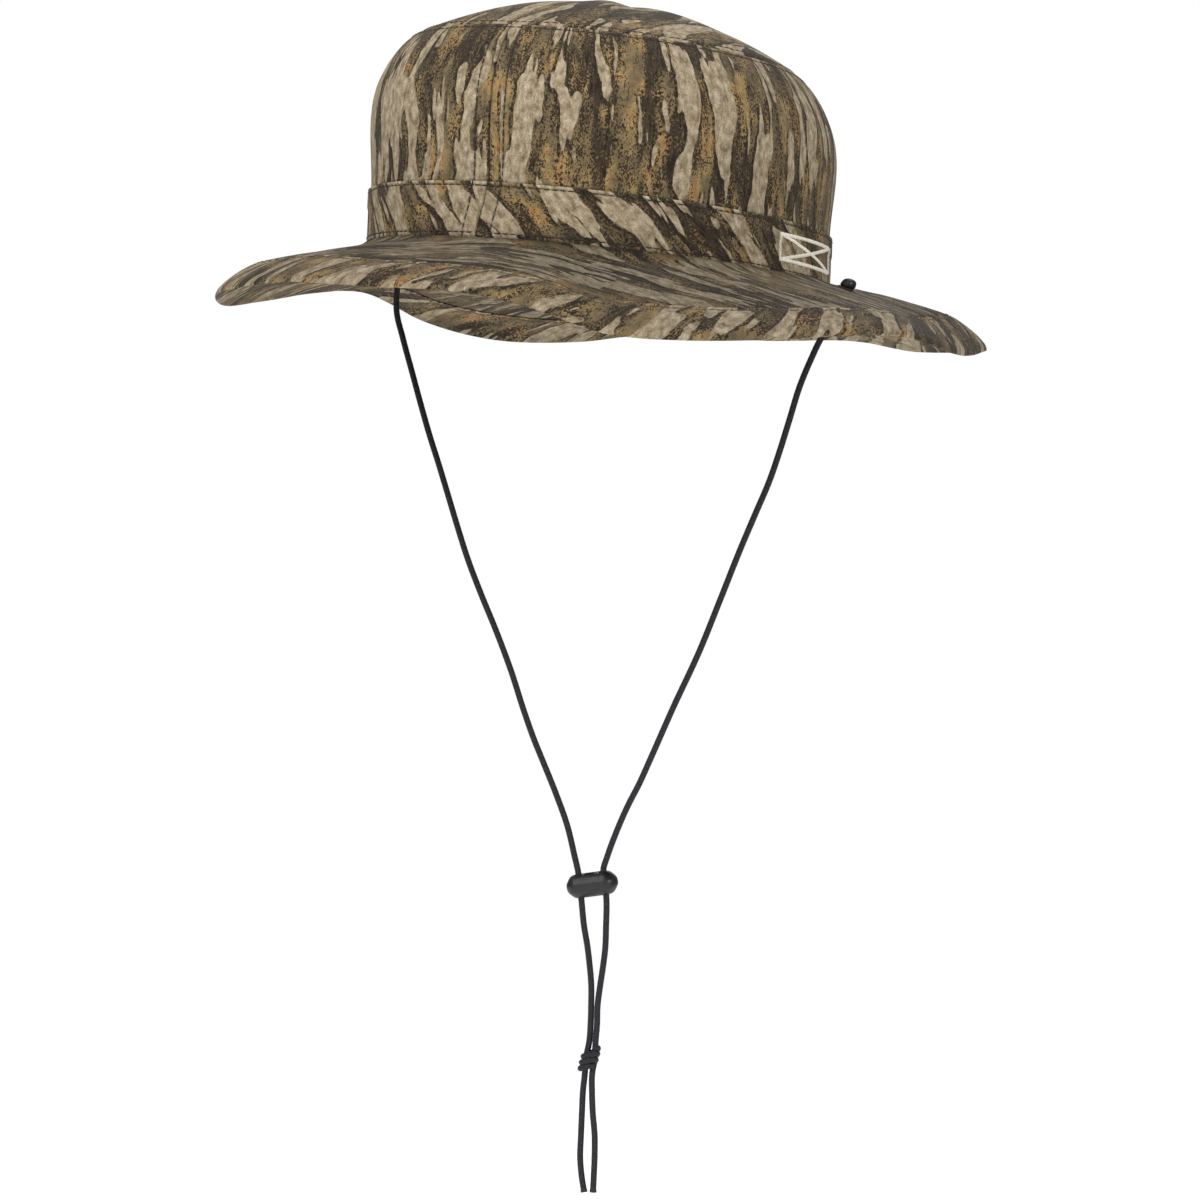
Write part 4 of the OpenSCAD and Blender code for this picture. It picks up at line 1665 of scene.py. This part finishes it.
@dataclass
class SideTack:
    """A plain sewn tack on the band at the wearer's left: a long box with a cross, in satin stitch.

    Attributes:
        form: the crown's wall.
        crown: the crown, whose band it is sewn on.
        finishes: the hat's finishes.
        stitcher: sews the lines.
        inset: distance from the badge's outline to the middle of the box's lines.
    """

    form: CrownForm
    crown: Crown
    finishes: Finishes
    stitcher: Stitcher
    inset: float = 1.2 * MM

    def build(self) -> None:
        """Sews the box and the cross where the part has its badge."""
        form = self.form
        points = node_points("side_badge")
        low, high = points.min(axis=0), points.max(axis=0)
        ends = np.arctan2(points[:, 0], -points[:, 1])
        start, end = form.around_at(ends.min()) + self.inset, form.around_at(ends.max()) - self.inset
        bottom, top = float(low[2]) + self.inset, float(high[2]) - self.inset
        corners = [(start, bottom), (end, bottom), (end, top), (start, top)]
        lines = [(corners[k], corners[(k + 1) % 4]) for k in range(4)]
        lines += [(corners[0], corners[2]), (corners[1], corners[3])]
        rows = []
        for a, b in lines:
            share = np.linspace(0, 1, 60)
            around = a[0] + (b[0] - a[0]) * share
            up = a[1] + (b[1] - a[1]) * share
            out = self.crown.band_out(up) + 0.12 * MM
            rows.append(Row(form.place(around, up, out)))
        stitch = Stitch(0.34 * MM, 1.5 * MM, 0.44 * MM, 20, True)
        self.stitcher.sew("side_tack", rows, stitch, self.finishes.tack_thread, slot="badge_thread",
                          nodes=("side_badge",))


@dataclass(frozen=True)
class EyeletSeat:
    """Where an eyelet sits: its frame and its sizes, read from the part.

    Attributes:
        seat: the eyelet's own axes, with Z up through the brim.
        bore: radius of the hole.
        flange: radius of the flange.
        low: lowest point along the axis.
        high: highest point along the axis.
    """

    seat: Matrix
    bore: float
    flange: float
    low: float
    high: float

    @classmethod
    def read(cls, side: Side) -> "EyeletSeat":
        """Reads one side's eyelet from its node and its washer's."""
        washer = node_points(f"eyelet_washer_{side.word}")
        middle = washer.mean(axis=0)
        _, _, axes = np.linalg.svd(washer - middle)
        up = axes[2] * np.sign(axes[2][2])
        seat = Vector(up).to_track_quat("Z", "Y").to_matrix().to_4x4()
        seat.translation = Vector(middle)
        shape = node_points(f"eyelet_{side.word}") - middle
        along = shape @ up
        radius = np.linalg.norm(shape - along[:, None] * up, axis=1)
        return cls(seat, float(radius.min()), float(radius.max()), float(along.min()), float(along.max()))

    def along(self, height: float) -> np.ndarray:
        """A point on the eyelet's axis."""
        return np.array(self.seat @ Vector((0, 0, height)))


@dataclass
class Eyelets:
    """The two eyelets and their washers, with rolled edges."""

    finishes: Finishes

    def build(self) -> dict[Side, EyeletSeat]:
        """Builds both eyelets.

        Returns:
            Each side's eyelet seat.
        """
        seats = {}
        for side in Side:
            at = EyeletSeat.read(side)
            wall = 0.4 * MM
            lip = 0.45 * MM
            barrel = [(at.bore, at.low), (at.bore + wall, at.low), (at.bore + wall, at.high - lip),
                      (at.flange, at.high - lip), (at.flange, at.high - 0.12 * MM),
                      (at.bore + 1.1 * MM, at.high + 0.12 * MM), (at.bore, at.high - 0.1 * MM)]
            piece = turned(f"eyelet_{side.word}_brass", rolled(barrel), at.seat)
            settle(piece, self.finishes.brass, "eyelet_metal", f"eyelet_{side.word}")
            ring = [(at.bore + wall + 0.03 * MM, -0.2 * MM), (at.flange, -0.18 * MM), (at.flange, 0.2 * MM),
                    (at.bore + wall + 0.03 * MM, 0.2 * MM)]
            piece = turned(f"eyelet_washer_{side.word}_brass", rolled(ring), at.seat)
            settle(piece, self.finishes.brass, "eyelet_metal", f"eyelet_washer_{side.word}")
            seats[side] = at
        return seats


@dataclass
class CordLock:
    """The two-hole lock: the part's own shape, softened into a tipped bean.

    Attributes:
        finishes: the hat's finishes.
        tip: how far its top tips to the front, in degrees.
        rounding: how round its rims are, from 0 for square to 0.5 for a full round.
        height: its height beside the part's.
        voxel: grid size of its remade skin.
        passes: how many times the skin is smoothed.
    """

    finishes: Finishes
    tip: float = 16.0
    rounding: float = 0.47
    height: float = 0.93
    voxel: float = 0.2 * MM
    passes: int = 14

    def build(self) -> Object:
        """Remakes the lock's skin with soft edges.

        Returns:
            The lock's piece.
        """
        blank = placed("cord_lock_blank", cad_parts["cord_lock"].data.copy())
        weld = blank.modifiers.new("weld", "WELD")
        weld.merge_threshold = 0.002 * MM
        skin = blank.modifiers.new("skin", "REMESH")
        skin.mode = "VOXEL"
        skin.voxel_size = self.voxel
        soften = blank.modifiers.new("soften", "SMOOTH")
        soften.factor = 0.5
        soften.iterations = self.passes
        mesh = baked(blank)
        mesh.polygons.foreach_set("use_smooth", np.ones(len(mesh.polygons), bool))
        self.round_off(mesh)
        piece = placed("cord_lock_moulded", mesh)
        return settle(piece, self.finishes.plastic, "lock_plastic", "cord_lock", body="cord_lock")

    def round_off(self, mesh: bpy.types.Mesh) -> None:
        """Domes the lock's flat faces towards its rim, like a bean, and tips its top to the front.

        Args:
            mesh: the lock's mesh, which it changes.
        """
        source = node_points("cord_lock")
        centre = (source.min(axis=0) + source.max(axis=0)) / 2
        along = np.linalg.svd(source - source.mean(axis=0), full_matrices=False)[2][0]
        along = along * np.sign(along[0])
        front = np.array([0.0, 1.0, 0.0])
        axes = np.stack([along, front, np.cross(along, front)])
        points = np.array([vertex.co for vertex in mesh.vertices]) - centre
        a, b, c = (points @ axes.T).T
        half_length, half_depth = np.abs(a).max(), np.abs(b).max()
        past = np.maximum(np.abs(a) - (half_length - half_depth), 0)
        rim = np.clip(np.hypot(past, b) / half_depth, 0, 1)
        level = c / np.abs(c).max()
        squeeze = (1 - np.sqrt(1 - self.rounding * level**2)) * rim**2
        a = a - np.sign(a) * past * squeeze
        b = b * (1 - squeeze)
        c = c * self.height * np.sqrt(1 - self.rounding * rim**2)
        sine, cosine = math.sin(math.radians(self.tip)), math.cos(math.radians(self.tip))
        moved = np.stack([a, b * cosine - c * sine, b * sine + c * cosine], axis=1)
        mesh.vertices.foreach_set("co", (moved @ axes + centre).astype(np.float32).ravel())
        mesh.update()


@dataclass
class ChinCord:
    """The chin cord: two strands, the lock they run through, the knot that joins them, and their tails.

    Each route is a list of x and z places in millimetres, in the plane that the cord hangs in.

    Attributes:
        finishes: the hat's finishes.
        width: the cord's diameter.
        plane: how far behind the hat's middle that plane stands.
        stopper_lean: how far a stopper leans outwards, as a share of its height.
        knot_turns: how many times the cord goes round in the knot.
        upper: each side's route from its eyelet to the middle of the lock.
        loop: each side's route from the middle of the lock to the knot.
        tail: each side's route from the knot to its tip.
    """

    finishes: Finishes
    width: float = 2.5 * MM
    plane: float = 15 * MM
    stopper_lean: float = 0.22
    knot_turns: float = 3.3
    upper: dict[Side, Route] = field(default_factory=lambda: {
        Side.LEFT: [(98, -8), (96.5, -11), (93.8, -15), (90.2, -20.5), (86.2, -30), (82.8, -40), (79.8, -53),
                    (77, -65), (73.8, -77), (69.2, -90), (64.6, -103), (57.6, -124.5), (51, -144.5),
                    (41.6, -168.5), (34, -189), (30.4, -198.5), (26.2, -208), (22.2, -219), (19.4, -228.5),
                    (18.24, -233.9), (19.36, -238.76)],
        Side.RIGHT: [(-98, -8), (-98.2, -14), (-97.6, -20), (-93.5, -31), (-88, -44), (-82.5, -57),
                     (-77, -69.5), (-71.5, -81), (-66, -93), (-60.5, -105), (-54.5, -117.5), (-47, -131),
                     (-39, -144.5), (-30.5, -160), (-23, -175.5), (-17.5, -186), (-12.5, -194.5),
                     (-5.5, -206.5), (1, -219), (5, -229.5), (7.5, -236.4), (8.64, -241.24)]})
    loop: dict[Side, Route] = field(default_factory=lambda: {
        Side.LEFT: [(19.36, -238.76), (20.48, -243.6), (21.7, -256), (22.2, -264), (22, -271), (21.5, -279),
                    (21.2, -287), (21.7, -294), (21.8, -301.5)],
        Side.RIGHT: [(8.64, -241.24), (9.8, -246.1), (12.2, -257), (14.3, -264), (16, -271), (17.6, -279),
                     (18.4, -287), (18.9, -294), (19, -301.5)]})
    tail: dict[Side, Route] = field(default_factory=lambda: {
        Side.LEFT: [(21.6, -313.5), (22.3, -321), (23.4, -328.5), (25.1, -337), (26, -346), (26.4, -353),
                    (26.7, -359)],
        Side.RIGHT: [(18.4, -313.5), (18.3, -321), (18.7, -329), (19.2, -338), (19.8, -347), (21.2, -354),
                     (22.8, -359.5)]})

    def build(self, seats: dict[Side, EyeletSeat]) -> None:
        """Builds the lock, the knot, both strands and their stoppers.

        Args:
            seats: the eyelets that the strands hang from.
        """
        lock = CordLock(self.finishes).build()
        knot = self.knot()
        for side in Side:
            self.stopper(side, seats[side])
            self.strand(side)
            self.lower(side, knot)

    @property
    def braid(self) -> Braid:
        """The braid of the whole cord."""
        return Braid(self.width)

    def hang(self, route: Route) -> np.ndarray:
        """A route's points in the hanging plane, in metres."""
        return np.array([(x * MM, self.plane, z * MM) for x, z in route])

    def strand(self, side: Side) -> None:
        """One strand from its eyelet down into the lock.

        Args:
            side: the wearer's side.
        """
        path = even_path(self.hang(self.upper[side]), self.braid.gap)
        piece = self.braid.tube(f"cord_strand_{side.word}_braid", path)
        settle(piece, self.finishes.cord, "cord", f"cord_strand_{side.word}", body=None)
        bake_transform(piece)

    def lower(self, side: Side, knot: Object) -> None:
        """One strand from the lock through the knot to its sealed tail.

        Args:
            side: the wearer's side.
            knot: the knot's piece; not used.
        """
        loop, tail = self.hang(self.loop[side]), self.hang(self.tail[side])
        middle = (loop[-1] + tail[0]) / 2 + np.array([0.0, 0.9, 0.0]) * MM * side.value
        path = even_path(np.concatenate([loop, [middle], tail]), self.braid.gap)
        piece = self.braid.tube(f"cord_tail_{side.word}_braid", path)
        nodes = (f"cord_loop_{side.word}", f"cord_tail_{side.word}")
        settle(piece, self.finishes.cord, "cord", *nodes, body=None)
        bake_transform(piece)
        tip = self.tip(side, path)

    def tip(self, side: Side, path: np.ndarray) -> Object:
        """The melted bead that seals a tail's end.

        Args:
            side: the wearer's side.
            path: the tail's path.

        Returns:
            The bead.
        """
        way = Vector(path[-1] - path[-6]).normalized()
        seat = way.to_track_quat("Z", "Y").to_matrix().to_4x4()
        seat.translation = Vector(path[-1])
        shape = [(0, -1.5), (0.93, -1.5), (1.06, -0.6), (1.12, 0.1), (1.06, 0.36), (0.4, 0.3), (0, 0.36)]
        bead = rolled(profile(shape, self.width / 2, MM), 1)
        piece = turned(f"cord_tip_{side.word}_seal", bead, seat, 28)
        return settle(piece, self.finishes.seal, "cord", f"cord_tip_{side.word}", body="chin_cord")

    def stopper(self, side: Side, at: EyeletSeat) -> None:
        """The melted stopper on top of an eyelet, with its stub of cord down through the hole.

        Args:
            side: the wearer's side.
            at: that side's eyelet.
        """
        hinge = self.hang(self.upper[side][:1])[0]
        stop = node_points(f"cord_stop_{side.word}")
        origin = np.array(at.seat.translation)
        up = np.array(at.seat.to_3x3() @ Vector((0, 0, 1)))
        high = float(((stop - origin) @ up).max())
        base = at.high + 0.05 * MM
        tall = high - base
        radius = float(np.linalg.norm(np.cross(stop - origin, up), axis=1).max())
        shape = [(0, 0), (0.98, 0), (1.06, 0.14), (1, 0.4), (0.84, 0.62), (0.45, 0.76), (0, 0.78)]
        dome = rolled(profile(shape, radius, tall, base))
        piece = turned(f"cord_stop_{side.word}_bead", dome, at.seat, 36)
        for vertex in piece.data.vertices:
            lift = max(0.0, float((np.array(vertex.co) - origin) @ up) - base)
            vertex.co.x += side.value * self.stopper_lean * lift
        settle(piece, self.finishes.seal, "cord", f"cord_stop_{side.word}")
        places = (base + 0.3 * tall, 0.5 * (at.high + at.low), at.low)
        route = np.stack([at.along(place) for place in places] + [hinge])
        stub = self.braid.tube(f"cord_stub_{side.word}", even_path(route, self.braid.gap))
        settle(stub, self.finishes.cord, "cord")

    def knot(self) -> Object:
        """The overhand knot: both strands wound together over themselves and pulled tight."""
        low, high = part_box("cord_knot")
        middle = (low + high) / 2
        radius = (high.x - low.x) / 2 - self.width / 2
        tall = high.z - low.z
        share = np.linspace(0, 1, 90)
        angle = TURN * self.knot_turns * share - 1.1
        swell = 1 - 0.35 * np.abs(2 * share - 1) ** 6
        x = radius * swell * np.cos(angle)
        y = radius * swell * np.sin(angle)
        z = tall * (0.44 - share) * 0.66 + 0.55 * x
        x = x + 1.5 * MM * (0.35 - share)
        centre = np.array(middle) + np.stack([x, y, z], axis=1)
        path = even_path(centre, self.braid.gap)
        wrap = self.braid.tube("cord_knot_wraps", path)
        return settle(wrap, self.finishes.cord, "cord", "cord_knot", body="chin_cord")


@dataclass
class Studio:
    """Pale floor, soft lights and the camera at the wearer's front left.

    Attributes:
        turn: how far the camera stands round the hat from its front, in degrees.
        roll: how far the camera is rolled, in degrees.
        far: distance from the camera to the hat.
        drop: how far below the brim seam the camera aims.
        lens: focal length, on a 36 mm sensor.
        fill: strength of the surround's light.
        glow: strength of the floor's own light.
        gap: distance from the part's lowest point down to the floor.
        spread: radius of the floor.
        fade: distances from the middle between which the floor fades out.
    """

    turn: float = 26.5
    roll: float = 5.3
    far: float = 1.6
    drop: float = 0.1294
    lens: float = 123.1
    fill: float = 0.3
    glow: float = 0.42
    gap: float = 40 * MM
    spread: float = 4.0
    fade: tuple[float, float] = (0.5, 1.5)

    def build(self) -> None:
        """Builds the camera, lights, world and floor."""
        self.camera()
        self.lights()
        self.world()
        self.floor()

    def camera(self) -> None:
        """A level camera, rolled a little, looking past the hat's middle."""
        turn, roll = math.radians(self.turn), math.radians(self.roll)
        ahead = Vector((-math.sin(turn), math.cos(turn), 0))
        level = Vector((math.cos(turn), math.sin(turn), 0))
        right = level * math.cos(roll) + Vector((0, 0, math.sin(roll)))
        up = right.cross(ahead)
        data = bpy.data.cameras.new("camera")
        data.lens = self.lens
        data.sensor_width = 36
        camera = placed("camera", data)
        axes = Matrix((right, up, -ahead)).transposed().to_4x4()
        axes.translation = -(up * self.drop + ahead * self.far)
        camera.matrix_world = axes
        bpy.context.scene.camera = camera

    def lights(self) -> None:
        """Large soft lights: one above and to each side, and weaker ones behind and below."""
        plan = [("key", (-0.8, -1.8, 1.2), 1.3, 25.0), ("side", (1.8, -1.0, 0.6), 1.2, 19.0),
                ("top", (0.1, 0.2, 1.9), 1.4, 8.0), ("back", (-0.6, 1.8, 0.8), 1.2, 7.0),
                ("low", (-0.4, -1.5, -0.2), 0.9, 2.5)]
        for name, place, size, power in plan:
            data = bpy.data.lights.new(name, "AREA")
            data.size = size
            data.energy = power
            light = placed(name, data)
            light.location = place
            light.rotation_euler = (-light.location).to_track_quat("-Z", "Y").to_euler()

    def world(self) -> None:
        """A white surround that lights the hat more weakly than it looks."""
        world = bpy.data.worlds.new("surround")
        world.use_nodes = True
        nodes = Nodes(world.node_tree)
        seen = nodes.node("ShaderNodeLightPath", {}).outputs["Is Camera Ray"]
        strength = nodes.node("ShaderNodeMapRange", {0: seen, 3: self.fill, 4: 1.0}).outputs[0]
        white = nodes.node("ShaderNodeBackground", {"Color": (1.0, 1.0, 1.0), "Strength": strength})
        nodes.node("ShaderNodeOutputWorld", {0: white.outputs[0]})
        bpy.context.scene.world = world
        bpy.context.scene.view_settings.view_transform = "Standard"

    def floor(self) -> None:
        """A round pale floor that fades out into the surround."""
        height = CAD_BOX[0].z - self.gap
        sides = 64
        turns = [TURN * k / sides for k in range(sides)]
        rim = [(self.spread * math.cos(turn), self.spread * math.sin(turn), height) for turn in turns]
        mesh = bpy.data.meshes.new("floor")
        mesh.from_pydata(rim, [], [list(range(sides))])
        floor = placed("floor", mesh)
        graph = Graph("floor_paint")
        place = graph.place_map()
        length = graph.node("ShaderNodeVectorMath", {0: place}, operation="LENGTH").outputs["Value"]
        clear = graph.node("ShaderNodeBsdfTransparent", {})
        below = graph.node("ShaderNodeNewGeometry", {}).outputs["Backfacing"]
        fade = graph.math("MAXIMUM", graph.span(length, *self.fade), below)
        joined = graph.node("ShaderNodeMixShader", {0: fade, 1: graph.shader.outputs[0], 2: clear.outputs[0]})
        graph.put(graph.output.inputs["Surface"], joined.outputs[0])
        paint = graph.surface(Base_Color=(0.92, 0.92, 0.92), Roughness=0.9, Emission_Strength=self.glow,
                              Emission_Color=(1.0, 1.0, 1.0))
        mesh.materials.append(paint)


def main() -> None:
    """Builds the studio, the chin cord and then the hat round it."""
    logging.basicConfig(level=logging.INFO, format="%(name)s: %(message)s")
    Studio().build()
    finishes = Finishes()
    stitcher = Stitcher()
    seats = Eyelets(finishes).build()
    ChinCord(finishes).build(seats)
    wall = CrownForm()
    crown = Crown(wall, finishes, stitcher)
    crown.build()
    Brim(BrimForm(), finishes, stitcher).build()
    Inside(wall, finishes, stitcher).build()
    SideTack(wall, crown, finishes, stitcher).build()


if __name__ == "__main__":
    main()
